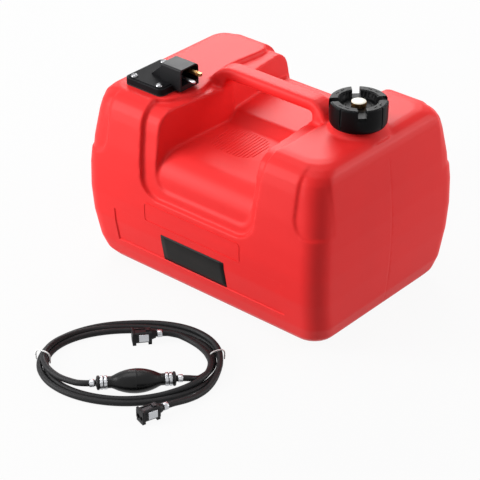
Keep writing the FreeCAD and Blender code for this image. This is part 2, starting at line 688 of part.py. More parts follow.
def outlet_screws():
    """Pan-head screws through the plate and gasket into the inserts."""
    screws = []
    seat = PLATE_TOP_Z + PLATE_RIM
    for x, y in screw_places():
        head = post(SCREW_HEAD_R, x, y, seat, seat + SCREW_BRIM)
        crown = Part.makeCone(SCREW_HEAD_R, SCREW_CROWN_R, SCREW_HEAD - SCREW_BRIM,
                              Vector(x, y, seat + SCREW_BRIM))
        shank = post(SCREW_R, x, y, TANK_HEIGHT - SCREW_LENGTH + SCREW_TIP_GAP, seat + SCREW_HEAD / 2)
        screws.append(fuse([head, crown, shank]))
    return Part.makeCompound(screws)


def screw_inserts():
    foot = TANK_HEIGHT - INSERT_LENGTH
    return Part.makeCompound([ring(SCREW_R + FIT, INSERT_R - FIT, x, y, foot, TANK_HEIGHT)
                              for x, y in screw_places()])


def outlet_nipple():
    """Brass nipple: shoulder, barrel, square tip with a cross hole."""
    x0 = SOCKET_X - SOCKET_DEPTH
    root = rod_x(NIPPLE_R, x0, SOCKET_X + NIPPLE_SHOULDER, NIPPLE_Y, NIPPLE_Z)
    barrel_end = NIPPLE_END_X - NIPPLE_TIP
    stem = rod_x(NIPPLE_BARREL_R, x0, barrel_end + 1, NIPPLE_Y, NIPPLE_Z)
    half = NIPPLE_SQUARE / 2
    square = box(barrel_end, NIPPLE_END_X, NIPPLE_Y - half, NIPPLE_Y + half, NIPPLE_Z - half, NIPPLE_Z + half)
    bore = rod_x(NIPPLE_BORE_R, x0 - 1, NIPPLE_END_X + 1, NIPPLE_Y, NIPPLE_Z)
    cross = post(1.0, NIPPLE_END_X - NIPPLE_TIP / 2, NIPPLE_Y, NIPPLE_Z - 6, NIPPLE_Z + 6)
    return fuse([root, stem, square]).cut([bore, cross])


def guide_pin():
    """Steel pin that keeps the connector from turning."""
    shoulder = PIN_END_X - PIN_NOSE
    rod = rod_x(PIN_R, SOCKET_X - SOCKET_DEPTH, shoulder, PIN_Y, PIN_Z)
    nose = Part.makeCone(PIN_R, PIN_R / 2, PIN_NOSE, Vector(shoulder, PIN_Y, PIN_Z), Vector(1, 0, 0))
    return fuse([rod, nose])


def dip_tube():
    bore = BARB_R + DIP_CLEAR
    return ring(bore, bore + DIP_TUBE_WALL, PLATE_X, PLATE_Y, DIP_TUBE_END_Z, STEM_END_Z - 1)


def dip_tube_clip():
    r = BARB_R + DIP_CLEAR + DIP_TUBE_WALL
    z = STEM_END_Z - 9
    return ring(r, r + 1.0, PLATE_X, PLATE_Y, z, z + 4)


def strainer():
    """Cup with slots that slips over the foot of the dip tube."""
    r_tube = BARB_R + DIP_CLEAR + DIP_TUBE_WALL
    z0 = WALL + BASE_RECESS + 1.5
    cup = post(STRAINER_R, PLATE_X, PLATE_Y, z0, z0 + STRAINER_LENGTH)
    cup = cup.cut([post(STRAINER_R - 1.5, PLATE_X, PLATE_Y, z0 + 1.5, z0 + STRAINER_LENGTH - 5),
                   post(r_tube, PLATE_X, PLATE_Y, z0 + 8, z0 + STRAINER_LENGTH + 1)])
    slots = []
    for i in range(3):
        slot = box(PLATE_X - 20, PLATE_X + 20, PLATE_Y - 1.2, PLATE_Y + 1.2, z0 + 3, z0 + STRAINER_LENGTH - 7)
        slot.rotate(Vector(PLATE_X, PLATE_Y, 0), Vector(0, 0, 1), i * 60)
        slots.append(slot)
    core = post(r_tube, PLATE_X, PLATE_Y, z0, z0 + STRAINER_LENGTH)
    return cup.cut([slot.cut(core) for slot in slots])


# ---------------------------------------------------------------- fuel line
def kit(shape):
    """Move a shape from the kit's own frame to where the kit lies."""
    shape.rotate(Vector(0, 0, 0), Vector(0, 0, 1), KIT_TURN)
    shape.translate(Vector(KIT_X, KIT_Y, 0))
    return shape


def turned(shape, u, v, z, turn):
    """Turn a shape made along +X at the origin, and set it down in the kit's frame."""
    shape.rotate(Vector(0, 0, 0), Vector(0, 0, 1), turn)
    shape.translate(Vector(u, v, z))
    return kit(shape)


def along(r, x0, x1, z=0.0):
    """Cylinder on the X axis."""
    return Part.makeCylinder(r, x1 - x0, Vector(x0, 0, z), Vector(1, 0, 0))


def tube_along(r_in, r_out, x0, x1):
    return along(r_out, x0, x1).cut(along(r_in, x0 - 1, x1 + 1))


def oval(half_u, half_v, end_r, middle_v):
    """Face of an oval of four tangent arcs, with ends of radius end_r."""
    reach = half_u - end_r
    side_r = (reach ** 2 + half_v ** 2 - end_r ** 2) / (2 * (half_v - end_r))
    angle = math.atan2(side_r - half_v, reach)
    join_u = reach + end_r * math.cos(angle)
    join_v = end_r * math.sin(angle)

    def spot(u, v):
        return Vector(u, middle_v + v, 0)
    arcs = [Part.Arc(spot(join_u, -join_v), spot(half_u, 0), spot(join_u, join_v)),
            Part.Arc(spot(join_u, join_v), spot(0, half_v), spot(-join_u, join_v)),
            Part.Arc(spot(-join_u, join_v), spot(-half_u, 0), spot(-join_u, -join_v)),
            Part.Arc(spot(-join_u, -join_v), spot(0, -half_v), spot(join_u, -join_v))]
    return Part.Face(Part.Wire([arc.toShape() for arc in arcs]))


def hose_coil():
    """Outer shape of the coiled hose: a flat oval ring, wider where its turns fan out."""
    outer = oval(COIL_HALF_U, COIL_HALF_V, COIL_END_R, 0)
    inner = oval(COIL_HOLE_HALF_U, COIL_HOLE_HALF_V, COIL_HOLE_END_R, COIL_HOLE_V)
    loop = outer.cut(inner).extrude(Vector(0, 0, COIL_HEIGHT))
    rims = [e for e in loop.Edges if e.BoundBox.ZLength < 0.1]
    return kit(loop.makeChamfer(COIL_EDGE, rims))


def hose_path(points):
    """Wire of straight runs and tangent arcs through the kit's route points."""
    spots = [Vector(*p) for p in points]
    edges = []
    last = spots[0]
    for i in range(1, len(spots) - 1):
        back = spots[i - 1] - spots[i]
        ahead = spots[i + 1] - spots[i]
        run = min(back.Length, ahead.Length)
        turn = math.pi - back.getAngle(ahead)
        radius = 0.45 * run / math.tan(turn / 2)
        cut = 0.45 * run
        back.normalize()
        ahead.normalize()
        start = spots[i] + back * cut
        end = spots[i] + ahead * cut
        bisector = back + ahead
        bisector.normalize()
        middle = spots[i] + bisector * (radius / math.cos(turn / 2) - radius)
        edges.append(Part.LineSegment(last, start).toShape())
        edges.append(Part.Arc(start, middle, end).toShape())
        last = end
    edges.append(Part.LineSegment(last, spots[-1]).toShape())
    return Part.Wire(edges)


def hose(points):
    """Solid hose along a route."""
    path = hose_path(points)
    heading = Vector(*points[1]) - Vector(*points[0])
    section = Part.Wire(Part.Circle(Vector(*points[0]), heading, HOSE_R).toShape())
    tube = path.makePipeShell([section], True, True)
    return kit(tube)


def bulb_place(shape):
    """Set a shape made along +X, centred on the bulb, on the bulb's axis."""
    return turned(shape, BULB_U, BULB_V, BULB_R + 0.1, BULB_TURN)


def bulb_profile(r_mid, r_neck, sleeve, steps):
    """Solid of revolution of the bulb: straight sleeves and an oval of so many straight steps between."""
    end = BULB_HALF + sleeve
    rise = r_mid - r_neck
    side_r = (BULB_HALF ** 2 + rise ** 2) / (2 * rise)
    points = [Vector(-end, 0, 0), Vector(-end, 0, r_neck)]
    for i in range(steps + 1):
        x = BULB_HALF * (2 * i / steps - 1)
        points.append(Vector(x, 0, r_mid - side_r + math.sqrt(side_r ** 2 - x ** 2)))
    points += [Vector(end, 0, r_neck), Vector(end, 0, 0)]
    face = Part.Face(Part.makePolygon(points + points[:1]))
    return face.revolve(Vector(0, 0, 0), Vector(1, 0, 0), 360)


def primer_bulb():
    outer = bulb_profile(BULB_R, BULB_NECK_R, BULB_SLEEVE, 12)
    inner = bulb_profile(BULB_R - BULB_WALL, BULB_NECK_R - BULB_SLEEVE_WALL, BULB_SLEEVE + 1, 8)
    return bulb_place(outer.cut(inner))


BULB_END = BULB_HALF + BULB_SLEEVE
VALVE_IN = BULB_NECK_R - BULB_SLEEVE_WALL


def bulb_valve(side):
    """Valve body pushed into a bulb sleeve, with a flange and a barb for the hose.

    The inlet (side 1) has an open pocket, the outlet (side -1) one closed off towards the bulb."""
    hose_end = BULB_END + VALVE_FLANGE + VALVE_BARB
    parts = [along(VALVE_IN, BULB_END - VALVE_DEPTH, BULB_END + 0.5),
             along(VALVE_FLANGE_R, BULB_END, BULB_END + VALVE_FLANGE),
             along(HOSE_BORE_R, BULB_END, hose_end)]
    body = fuse(parts)
    pocket_start = BULB_END - VALVE_DEPTH - (1 if side > 0 else -VALVE_WEB)
    body = body.cut([along(VALVE_BORE_R, 0, hose_end + 1),
                     along(VALVE_IN - 1.2, pocket_start, BULB_END - VALVE_FLOOR)])
    if side < 0:
        body.rotate(Vector(0, 0, 0), Vector(0, 0, 1), 180)
    return bulb_place(body)


def bulb_check(side):
    """Rubber umbrella valve: its disc lies on the web that it closes, its stalk is in the bore."""
    disc_r = VALVE_IN - 1.6
    face = BULB_END - VALVE_FLOOR if side > 0 else VALVE_DEPTH - VALVE_WEB - BULB_END
    disc = along(disc_r, face - CHECK_THICK, face)
    return bulb_place(disc.fuse(along(CHECK_STALK_R, face - 0.2, face + CHECK_STALK)))


def bulb_bands():
    """Two crimped steel bands on each sleeve."""
    bands = []
    for side in SIDES:
        for i in range(2):
            x = side * (BULB_END - 3.4 - i * BAND_STEP)
            bands.append(bulb_place(tube_along(BULB_NECK_R, BAND_R, x - BAND_WIDTH / 2, x + BAND_WIDTH / 2)))
    return Part.makeCompound(bands)


HOSE_START = BULB_END + VALVE_FLANGE + 0.4      # where each hose butts up to its valve's flange


def on_bulb_axis(x):
    """Kit point on the bulb's axis, x from its middle."""
    angle = math.radians(BULB_TURN)
    return (BULB_U + x * math.cos(angle), BULB_V + x * math.sin(angle), BULB_R + 0.1)


# The tank's connector lies inside the coil, the engine's outside it: mouth's u and v, turn.
TANK_PLUG = (0.5, 43.5, 9.8)
ENGINE_PLUG = (15.5, -108.5, 32.0)
PLUG_TOP = PLUG_HEIGHT - PLUG_AXIS_Z
PIVOT_X = (LATCH_FRONT + LATCH_BACK) / 2
PIVOT_Z = PLUG_TOP - LATCH_SUNK - LATCH_THICK / 2


def plug_place(shape, place):
    """Set a shape made along +X, with the connector's mouth at X = 0, where the connector lies."""
    return turned(shape, place[0], place[1], PLUG_AXIS_Z, place[2])


def plug_body(place):
    """Moulded connector with sockets for nipple and pin, a latch slot and a barb for the hose."""
    half_w = PLUG_WIDTH / 2
    low = -PLUG_AXIS_Z
    foot = 3.0
    points = [(-half_w, low + foot), (half_w, low + foot), (half_w, PLUG_TOP), (-half_w, PLUG_TOP)]
    parts = [prism_along_x(points, [2, 2, PLUG_ROUND, PLUG_ROUND], 0, PLUG_LENGTH - PLUG_SHOULDER),
             Part.makeCone(half_w - 1.2, HOSE_R + 1.2, PLUG_SHOULDER, Vector(PLUG_LENGTH - PLUG_SHOULDER, 0, 0),
                           Vector(1, 0, 0)),
             along(HOSE_BORE_R, PLUG_LENGTH - 2, PLUG_LENGTH + PLUG_BARB)]
    for x in (0, PLUG_LENGTH - PLUG_SHOULDER - 4):
        parts.append(box(x, x + 4, -half_w + 1, half_w - 1, low, low + foot + 1))
    chamber_end = PLUG_SOCKET + SEAL_THICK + POPPET_CHAMBER
    latch_half = LATCH_WIDTH / 2 + SLIT
    slot_z = PLUG_TOP - LATCH_SUNK - LATCH_THICK - SLIT
    cuts = [rod_x(PLUG_SOCKET_R, -1, PLUG_SOCKET + 0.5, SOCKET_Y, SOCKET_Z),
            rod_x(SEAL_R, PLUG_SOCKET, PLUG_SOCKET + SEAL_THICK, SOCKET_Y, SOCKET_Z),
            rod_x(PLUG_PIN_R, -1, PLUG_SOCKET, PIN_SOCKET_Y, PIN_SOCKET_Z),
            rod_x(POPPET_R + POPPET_CLEAR, PLUG_SOCKET, chamber_end, SOCKET_Y, SOCKET_Z),
            along(VALVE_BORE_R, chamber_end, PLUG_LENGTH + PLUG_BARB + 1),
            box(LATCH_FRONT, PIVOT_X, -latch_half, latch_half, slot_z, PLUG_TOP + 1),
            box(PIVOT_X, LATCH_BACK, -latch_half, latch_half, slot_z - LATCH_ROOM, PLUG_TOP + 1),
            Part.makeCylinder(LATCH_PIVOT_R + FIT, LATCH_PIN + 2 * SLIT,
                              Vector(PIVOT_X, -LATCH_PIN / 2 - SLIT, PIVOT_Z), Vector(0, 1, 0))]
    start = Vector(chamber_end - 0.5, SOCKET_Y, SOCKET_Z)
    run = Vector(chamber_end + 1.5, 0, 0) - start
    cuts.append(Part.makeCylinder(VALVE_BORE_R, run.Length, start, run))
    return plug_place(fuse(parts).cut(cuts), place)


def plug_latch(place):
    """Steel lever in the connector's back, rocking on a pin across its middle."""
    half = LATCH_WIDTH / 2
    z1 = PLUG_TOP - LATCH_SUNK
    z0 = z1 - LATCH_THICK
    back = LATCH_BACK - SLIT
    plate = box(LATCH_FRONT + SLIT, back, -half, half, z0, z1)
    press = box(back - LATCH_PRESS, back, -half, half, z1 - 0.5, PLUG_TOP + LATCH_PROUD)
    pin = Part.makeCylinder(LATCH_PIVOT_R, LATCH_PIN, Vector(PIVOT_X, -LATCH_PIN / 2, PIVOT_Z), Vector(0, 1, 0))
    return plug_place(fuse([plate, press, pin]), place)


def plug_seal(place):
    """Rubber ring at the bottom of the nipple's socket."""
    seal = rod_x(SEAL_R - FIT, PLUG_SOCKET, PLUG_SOCKET + SEAL_THICK, SOCKET_Y, SOCKET_Z)
    bore = rod_x(SEAL_BORE_R, PLUG_SOCKET - 1, PLUG_SOCKET + SEAL_THICK + 1, SOCKET_Y, SOCKET_Z)
    return plug_place(seal.cut(bore), place)


def plug_poppet(place):
    """Small valve behind the seal: the nipple pushes its nose back and lets the fuel through."""
    x = PLUG_SOCKET + SEAL_THICK + SLIT
    head = rod_x(POPPET_R, x, x + POPPET_HEAD, SOCKET_Y, SOCKET_Z)
    nose = rod_x(POPPET_NOSE_R, PLUG_SOCKET, x + 1, SOCKET_Y, SOCKET_Z)
    return plug_place(fuse([head, nose]), place)


def plug_spring(place):
    """Spring behind the poppet, as the sleeve that its turns fill."""
    x0 = PLUG_SOCKET + SEAL_THICK + SLIT + POPPET_HEAD
    x1 = PLUG_SOCKET + SEAL_THICK + POPPET_CHAMBER
    sleeve = rod_x(POPPET_R - 0.2, x0, x1, SOCKET_Y, SOCKET_Z)
    return plug_place(sleeve.cut(rod_x(POPPET_R - 0.8, x0 - 1, x1 + 1, SOCKET_Y, SOCKET_Z)), place)


def clip(x):
    """Crimped hose clip round a hose along +X."""
    return tube_along(HOSE_R + FIT, CLIP_R, x, x + CLIP_WIDTH)


def hose_clips():
    """Four clips: on the hose ends at the bulb and at the connectors."""
    clips = []
    for side in SIDES:
        x = side * (HOSE_START + 1.5 + CLIP_WIDTH / 2) - CLIP_WIDTH / 2
        clips.append(bulb_place(clip(x)))
    for place in (TANK_PLUG, ENGINE_PLUG):
        clips.append(plug_place(clip(PLUG_LENGTH + 2), place))
    return Part.makeCompound(clips)


def plug_exit(place, x):
    """Kit point on a connector's axis, x from its mouth."""
    angle = math.radians(place[2])
    return (place[0] + x * math.cos(angle), place[1] + x * math.sin(angle), PLUG_AXIS_Z)


def wire_ties():
    """Two wire ties bent over the coil, left and right."""
    ties = []
    u_in = COIL_HOLE_HALF_U - TIE_LIFT
    u_out = COIL_HALF_U + SLIT
    top = COIL_HEIGHT + SLIT
    for side in SIDES:
        strap = box(u_in - TIE_THICK, u_out + TIE_THICK, -TIE_WIDTH / 2, TIE_WIDTH / 2, 0, top + TIE_THICK)
        tie = strap.cut(box(u_in, u_out, -TIE_WIDTH, TIE_WIDTH, -1, top))
        if side < 0:
            tie.rotate(Vector(0, 0, 0), Vector(0, 0, 1), 180)
        tie.translate(Vector(0, TIE_V, 0))
        ties.append(kit(tie))
    return Part.makeCompound(ties)


HOSE_START_PLUG = PLUG_LENGTH + 0.4
ROUTE_TANK_PLUG = [plug_exit(TANK_PLUG, HOSE_START_PLUG), plug_exit(TANK_PLUG, HOSE_START_PLUG + 12),
                   (50.5, 49.0, 8.4), (60.5, 44.0, 7.4), (69.5, 36.5, 7.0), (77.0, 27.5, 7.0), (82.5, 16.5, 7.0),
                   (86.5, 6.5, 7.0)]
ROUTE_BULB_RIGHT = [on_bulb_axis(HOSE_START), on_bulb_axis(HOSE_START + 10), (72.5, -42.5, 12.5),
                    (79.0, -35.5, 10.5)]
ROUTE_BULB_LEFT = [on_bulb_axis(-HOSE_START), on_bulb_axis(-HOSE_START - 8), (-51.0, -54.0, 12.5),
                   (-58.0, -51.0, 10.5)]
ROUTE_ENGINE_PLUG = [plug_exit(ENGINE_PLUG, HOSE_START_PLUG), plug_exit(ENGINE_PLUG, HOSE_START_PLUG + 13),
                     (64.0, -77.2, 8.2), (76.5, -66.0, 7.2), (87.5, -53.0, 7.0), (95.8, -38.5, 7.0)]


def hose_tank_side():
    return Part.makeCompound([hose(ROUTE_TANK_PLUG), hose(ROUTE_BULB_RIGHT)])


def hose_engine_side():
    return Part.makeCompound([hose(ROUTE_BULB_LEFT), hose(ROUTE_ENGINE_PLUG)])


# ---------------------------------------------------------------- write every piece
PIECES = {
    "tank_shell": tank_shell,
    "cap_gasket": cap_gasket,
    "cap_liner": cap_liner,
    "filler_cap": filler_cap,
    "vent_ring": vent_ring,
    "vent_screw": vent_screw,
    "outlet_gasket": outlet_gasket,
    "outlet_housing": outlet_housing,
    "outlet_screws": outlet_screws,
    "screw_inserts": screw_inserts,
    "outlet_nipple": outlet_nipple,
    "guide_pin": guide_pin,
    "dip_tube": dip_tube,
    "dip_tube_clip": dip_tube_clip,
    "strainer": strainer,
    "hose_coil": hose_coil,
    "hose_tank_side": hose_tank_side,
    "hose_engine_side": hose_engine_side,
    "primer_bulb": primer_bulb,
    "bulb_bands": bulb_bands,
    "hose_clips": hose_clips,
    "wire_ties": wire_ties,
}

for name, side in (("inlet", 1), ("outlet", -1)):
    PIECES[f"bulb_{name}_valve"] = functools.partial(bulb_valve, side)
    PIECES[f"bulb_{name}_check"] = functools.partial(bulb_check, side)

for name, place in (("tank", TANK_PLUG), ("engine", ENGINE_PLUG)):
    PIECES[f"{name}_plug"] = functools.partial(plug_body, place)
    PIECES[f"{name}_plug_latch"] = functools.partial(plug_latch, place)
    PIECES[f"{name}_plug_seal"] = functools.partial(plug_seal, place)
    PIECES[f"{name}_plug_poppet"] = functools.partial(plug_poppet, place)
    PIECES[f"{name}_plug_spring"] = functools.partial(plug_spring, place)

for node, build in PIECES.items():
    shape = build()
    shape.exportStep(f"parts/{node}.step")
    print(f"{node:20s} valid {shape.isValid()} solids {len(shape.Solids)} cm3 {shape.Volume / 1000:.2f}")
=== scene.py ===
"""Portable outboard fuel tank with its filler cap, outlet fitting and coiled fuel line.

Metres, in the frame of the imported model: the origin is the middle of the tank's base, +X runs along
the tank towards the filler, and +Z is up.
"""
import math

import bmesh
import bpy
from mathutils import Matrix, Vector


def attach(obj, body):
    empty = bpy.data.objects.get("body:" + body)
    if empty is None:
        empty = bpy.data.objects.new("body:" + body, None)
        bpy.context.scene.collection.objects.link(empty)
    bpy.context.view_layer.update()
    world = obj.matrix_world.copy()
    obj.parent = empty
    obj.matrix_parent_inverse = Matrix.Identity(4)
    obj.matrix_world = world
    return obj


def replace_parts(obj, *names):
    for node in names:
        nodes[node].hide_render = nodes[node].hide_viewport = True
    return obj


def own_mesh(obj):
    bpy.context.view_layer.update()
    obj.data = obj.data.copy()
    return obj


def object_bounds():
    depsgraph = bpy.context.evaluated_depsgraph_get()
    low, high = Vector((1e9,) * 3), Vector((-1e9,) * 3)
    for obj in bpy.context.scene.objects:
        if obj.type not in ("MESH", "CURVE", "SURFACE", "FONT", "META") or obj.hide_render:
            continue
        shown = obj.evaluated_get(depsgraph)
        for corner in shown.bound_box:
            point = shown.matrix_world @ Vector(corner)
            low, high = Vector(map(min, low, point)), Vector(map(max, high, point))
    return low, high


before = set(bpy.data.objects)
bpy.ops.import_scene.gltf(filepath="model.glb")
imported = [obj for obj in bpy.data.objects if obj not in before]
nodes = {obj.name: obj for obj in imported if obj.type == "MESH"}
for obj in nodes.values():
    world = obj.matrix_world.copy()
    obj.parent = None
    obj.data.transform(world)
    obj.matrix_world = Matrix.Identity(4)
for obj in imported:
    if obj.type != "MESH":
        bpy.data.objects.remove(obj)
cad_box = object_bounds()
scene = bpy.context.scene

# ---------------------------------------------------------------- camera
# It stands off the tank's filler end, a little to the front, and looks down on it by 31 degrees.
# A long lens keeps the tank's sides nearly parallel.
CAMERA_PLACE = (1.2691, -1.5192, 1.2185)
CAMERA_TURN = (59.09, 0.0, 40.87)
CAMERA_LENS = 143.46
SENSOR_WIDTH = 36

camera_data = bpy.data.cameras.new("camera")
camera_data.sensor_width = SENSOR_WIDTH
camera_data.lens = CAMERA_LENS
camera = bpy.data.objects.new("camera", camera_data)
camera.location = CAMERA_PLACE
camera.rotation_euler = [math.radians(turn) for turn in CAMERA_TURN]
scene.collection.objects.link(camera)
scene.camera = camera

# ---------------------------------------------------------------- fuel hoses
# Two lengths of black rubber hose, wound together into a flat oval coil that lies beside the tank.
# Their ends are pushed over the barbs of the bulb's valves and of the two connectors.
HOSE_R = 0.0035
COIL_U = 0.1044             # half sizes of the coil, along and across
COIL_V = 0.0819
COIL_STEP = 20              # degrees from one control point of a strand to the next
LOW = 0.0036                # height of a strand's middle on the floor, and over another strand
HIGH = 0.0105
OUTER = 0.0036              # how far a strand's middle lies inside the coil's edge
SECOND = 0.0108
THIRD = 0.0185
KIT_PLACE = (0.022, -0.266, 0)
KIT_TURN = 41
HOSE_BLACK = (0.013, 0.013, 0.014)

kit = Matrix.Translation(KIT_PLACE) @ Matrix.Rotation(math.radians(KIT_TURN), 4, "Z")


def grained(name, colour, roughness, grain, depth, mottle, specular, shift=0.12, gloss_shift=0.12):
    """Moulded plastic or rubber: fine grain, and slow changes of tone and gloss over the surface."""
    material = bpy.data.materials.new(name)
    material.use_nodes = True
    tree = material.node_tree
    shader = tree.nodes["Principled BSDF"]
    shader.inputs["Specular IOR Level"].default_value = specular
    place = tree.nodes.new("ShaderNodeTexCoord")
    slow = tree.nodes.new("ShaderNodeTexNoise")
    slow.inputs["Scale"].default_value = mottle
    slow.inputs["Detail"].default_value = 3
    tone = tree.nodes.new("ShaderNodeValToRGB")
    tone.color_ramp.elements[0].position = 0.3
    tone.color_ramp.elements[1].position = 0.7
    tone.color_ramp.elements[0].color = [c * (1 - shift) for c in colour] + [1]
    tone.color_ramp.elements[1].color = [min(c * (1 + shift), 1) for c in colour] + [1]
    gloss = tree.nodes.new("ShaderNodeMapRange")
    gloss.inputs["To Min"].default_value = roughness * (1 - gloss_shift)
    gloss.inputs["To Max"].default_value = roughness * (1 + gloss_shift)
    fine = tree.nodes.new("ShaderNodeTexNoise")
    fine.inputs["Scale"].default_value = grain
    fine.inputs["Detail"].default_value = 2
    bump = tree.nodes.new("ShaderNodeBump")
    bump.inputs["Strength"].default_value = 0.5
    bump.inputs["Distance"].default_value = depth
    links = tree.links
    links.new(place.outputs["Object"], slow.inputs["Vector"])
    links.new(place.outputs["Object"], fine.inputs["Vector"])
    links.new(slow.outputs["Fac"], tone.inputs["Fac"])
    links.new(tone.outputs["Color"], shader.inputs["Base Color"])
    links.new(slow.outputs["Fac"], gloss.inputs["Value"])
    links.new(gloss.outputs["Result"], shader.inputs["Roughness"])
    links.new(fine.outputs["Fac"], bump.inputs["Height"])
    links.new(bump.outputs["Normal"], shader.inputs["Normal"])
    return material


hose_rubber = grained("hose_rubber", HOSE_BLACK, roughness=0.52, grain=900, depth=0.00012, mottle=60,
                      specular=0.18)


def strand(stations):
    """Control points of a strand in the coil.

    Each station is an angle round the coil, the distance inside its edge and the height."""
    points = []
    out = 1 / math.cos(math.radians(COIL_STEP / 2))
    for start, end in zip(stations, stations[1:]):
        count = round((start[0] - end[0]) / COIL_STEP)
        for i in range(count):
            share = i / count
            ease = share * share * (3 - 2 * share)
            angle = math.radians(start[0] + (end[0] - start[0]) * share)
            inset = start[1] + (end[1] - start[1]) * ease
            height = start[2] + (end[2] - start[2]) * ease
            along, across = (COIL_U - inset) * out, (COIL_V - inset) * out
            points.append((along * math.cos(angle), across * math.sin(angle), height))
    return points


def smooth_line(name, points, radius):
    curve = bpy.data.curves.new(name, "CURVE")
    curve.dimensions = "3D"
    curve.resolution_u = 10
    curve.bevel_depth = radius
    curve.bevel_resolution = 5
    curve.use_fill_caps = True
    spline = curve.splines.new("NURBS")
    spline.points.add(len(points) - 1)
    for spot, point in zip(spline.points, points):
        spot.co = (*(kit @ Vector(point)), 1)
    spline.order_u = 3
    spline.use_endpoint_u = True
    return curve


def hose(name, points, *solids):
    """A length of hose along a smooth line, which stands for its solids."""
    curve = smooth_line(name, points, HOSE_R)
    curve.materials.append(hose_rubber)
    piece = bpy.data.objects.new(name, curve)
    scene.collection.objects.link(piece)
    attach(piece, "root")
    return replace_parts(piece, *solids)


# from the tank's connector once round the coil and into the bulb's right end
TANK_LEAD = [(0.02750, 0.04816, 0.0095), (0.03933, 0.05021, 0.0095), (0.0505, 0.0490, 0.0082),
             (0.0605, 0.0440, 0.0066), (0.0695, 0.0365, 0.0060), (0.0770, 0.0275, 0.0064),
             (0.0825, 0.0165, 0.0080), (0.0865, 0.0065, 0.0098)]
TANK_LOOP = [(-10, 0.0125, 0.0106), (-30, 0.0065, HIGH), (-90, SECOND, LOW), (-190, SECOND, LOW),
             (-270, THIRD, LOW), (-350, SECOND, LOW), (-370, SECOND, LOW), (-390, SECOND, LOW)]
BULB_RIGHT_LEAD = [(0.0790, -0.0355, 0.0058), (0.0725, -0.0425, 0.0108),
                   (0.06366, -0.04589, 0.0140), (0.05370, -0.04683, 0.0140)]
tank_hose = hose("fuel_hose_tank", TANK_LEAD + strand(TANK_LOOP) + BULB_RIGHT_LEAD,
                 "hose_tank_side", "hose_coil")

# from the bulb's left end one and three quarter turns round the coil and out to the engine's connector
BULB_LEFT_LEAD = [(-0.03450, -0.05517, 0.0140), (-0.04247, -0.05592, 0.0140),
                  (-0.0510, -0.0540, 0.0130), (-0.0580, -0.0510, 0.0118)]
ENGINE_LOOPS = [(-146, 0.0130, 0.0108), (-186, 0.0072, 0.0097), (-270, 0.0112, LOW),
                (-350, OUTER, LOW), (-450, OUTER, LOW), (-630, OUTER, LOW), (-670, OUTER, 0.0085),
                (-710, 0.0040, HIGH), (-730, 0.0030, 0.0102), (-750, 0.0, 0.0102)]
ENGINE_LEAD = [(0.0958, -0.0385, 0.0072), (0.0875, -0.0530, 0.0042), (0.0765, -0.0660, 0.0042),
               (0.0640, -0.0772, 0.0064), (0.04976, -0.08709, 0.0095), (0.03874, -0.09398, 0.0095)]
engine_hose = hose("fuel_hose_engine", BULB_LEFT_LEAD + strand(ENGINE_LOOPS) + ENGINE_LEAD,
                   "hose_engine_side")

# ---------------------------------------------------------------- tank body
# One blow-moulded shell of red polyethylene, hollow right through its handle.  Its edges are soft
# because the plastic is blown against the mould, and a shallow recess in front takes the data plate.
VOXEL = 0.0016
SOFTENING = 4               # rounds of smoothing
KEPT_SHARE = 0.46           # of the triangles, after the flat walls are thinned
TOP_Z = 0.2                 # the bores through the top wall lie above this
FRONT_Y = -0.11             # the front wall lies past this
END_X = 0.14                # the end walls lie past this
NECK_X = 0.1285
NECK_BORE_R = 0.0215
FITTING_X = -0.117          # the outlet fitting's middle, and its screws
FITTING_Y = -0.057
SCREW_PLACES = [(x, y) for x in (-0.1365, -0.0975) for y in (-0.082, -0.032)]
STEM_HOLE_R = 0.0118
SCREW_HOLE_R = 0.0039
RECESS = (-0.1300, 0.1280, 0.0400, 0.0862)      # its left, right, low and high edge
RECESS_DEPTH = 0.0013
RECESS_SLOPE = 0.0011       # how far the recess's sides lean in over its depth
PARTING_Y = 0.002
PARTING_HALF = 0.0009
PARTING_DEPTH = 0.00022
PARTING_LOW = 0.022
PARTING_HIGH = 0.206
MAIN_ROOM = ((-0.160, -0.112, 0.009), (0.158, 0.112, 0.155), 0.02)      # corners and rounding
END_ROOM = ((0.102, -0.088, 0.1), (0.157, 0.088, 0.222), 0.012)
NECK_LOW = 0.2              # the neck's bore, from inside the tank to above its rim
NECK_HIGH = 0.27
TANK_RED = (0.78, 0.0230, 0.0230)

neck_place = Matrix.Translation((NECK_X, 0, 0))


def place_mesh(name, mesh, material, body="root"):
    """New piece from a finished mesh."""
    piece = bpy.data.objects.new(name, mesh)
    scene.collection.objects.link(piece)
    mesh.materials.clear()
    mesh.materials.append(material)
    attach(piece, body)
    return piece


def from_bmesh(name, bm):
    """Smooth-shaded mesh from a bmesh, which is freed."""
    mesh = bpy.data.meshes.new(name)
    for face in bm.faces:
        face.smooth = True
    bm.to_mesh(mesh)
    bm.free()
    return mesh


def finished(mesh, *modifiers):
    """Mesh with modifiers applied, each given as its type and settings."""
    holder = bpy.data.objects.new("holder", mesh)
    scene.collection.objects.link(holder)
    for kind, settings in modifiers:
        modifier = holder.modifiers.new(kind, kind)
        for key, value in settings.items():
            setattr(modifier, key, value)
    depsgraph = bpy.context.evaluated_depsgraph_get()
    result = bpy.data.meshes.new_from_object(holder.evaluated_get(depsgraph))
    bpy.data.objects.remove(holder)
    return result


def block(low, high):
    """Bmesh of a sharp block between two corners."""
    bm = bmesh.new()
    bmesh.ops.create_cube(bm, size=1)
    low, high = Vector(low), Vector(high)
    bmesh.ops.scale(bm, vec=high - low, verts=bm.verts)
    bmesh.ops.translate(bm, vec=(low + high) / 2, verts=bm.verts)
    return bm


def soften(bm, edges, width, segments):
    """Round edges of a bmesh."""
    bmesh.ops.bevel(bm, geom=edges, offset=width, affect="EDGES", segments=segments, profile=0.5,
                    material=-1)
    return bm


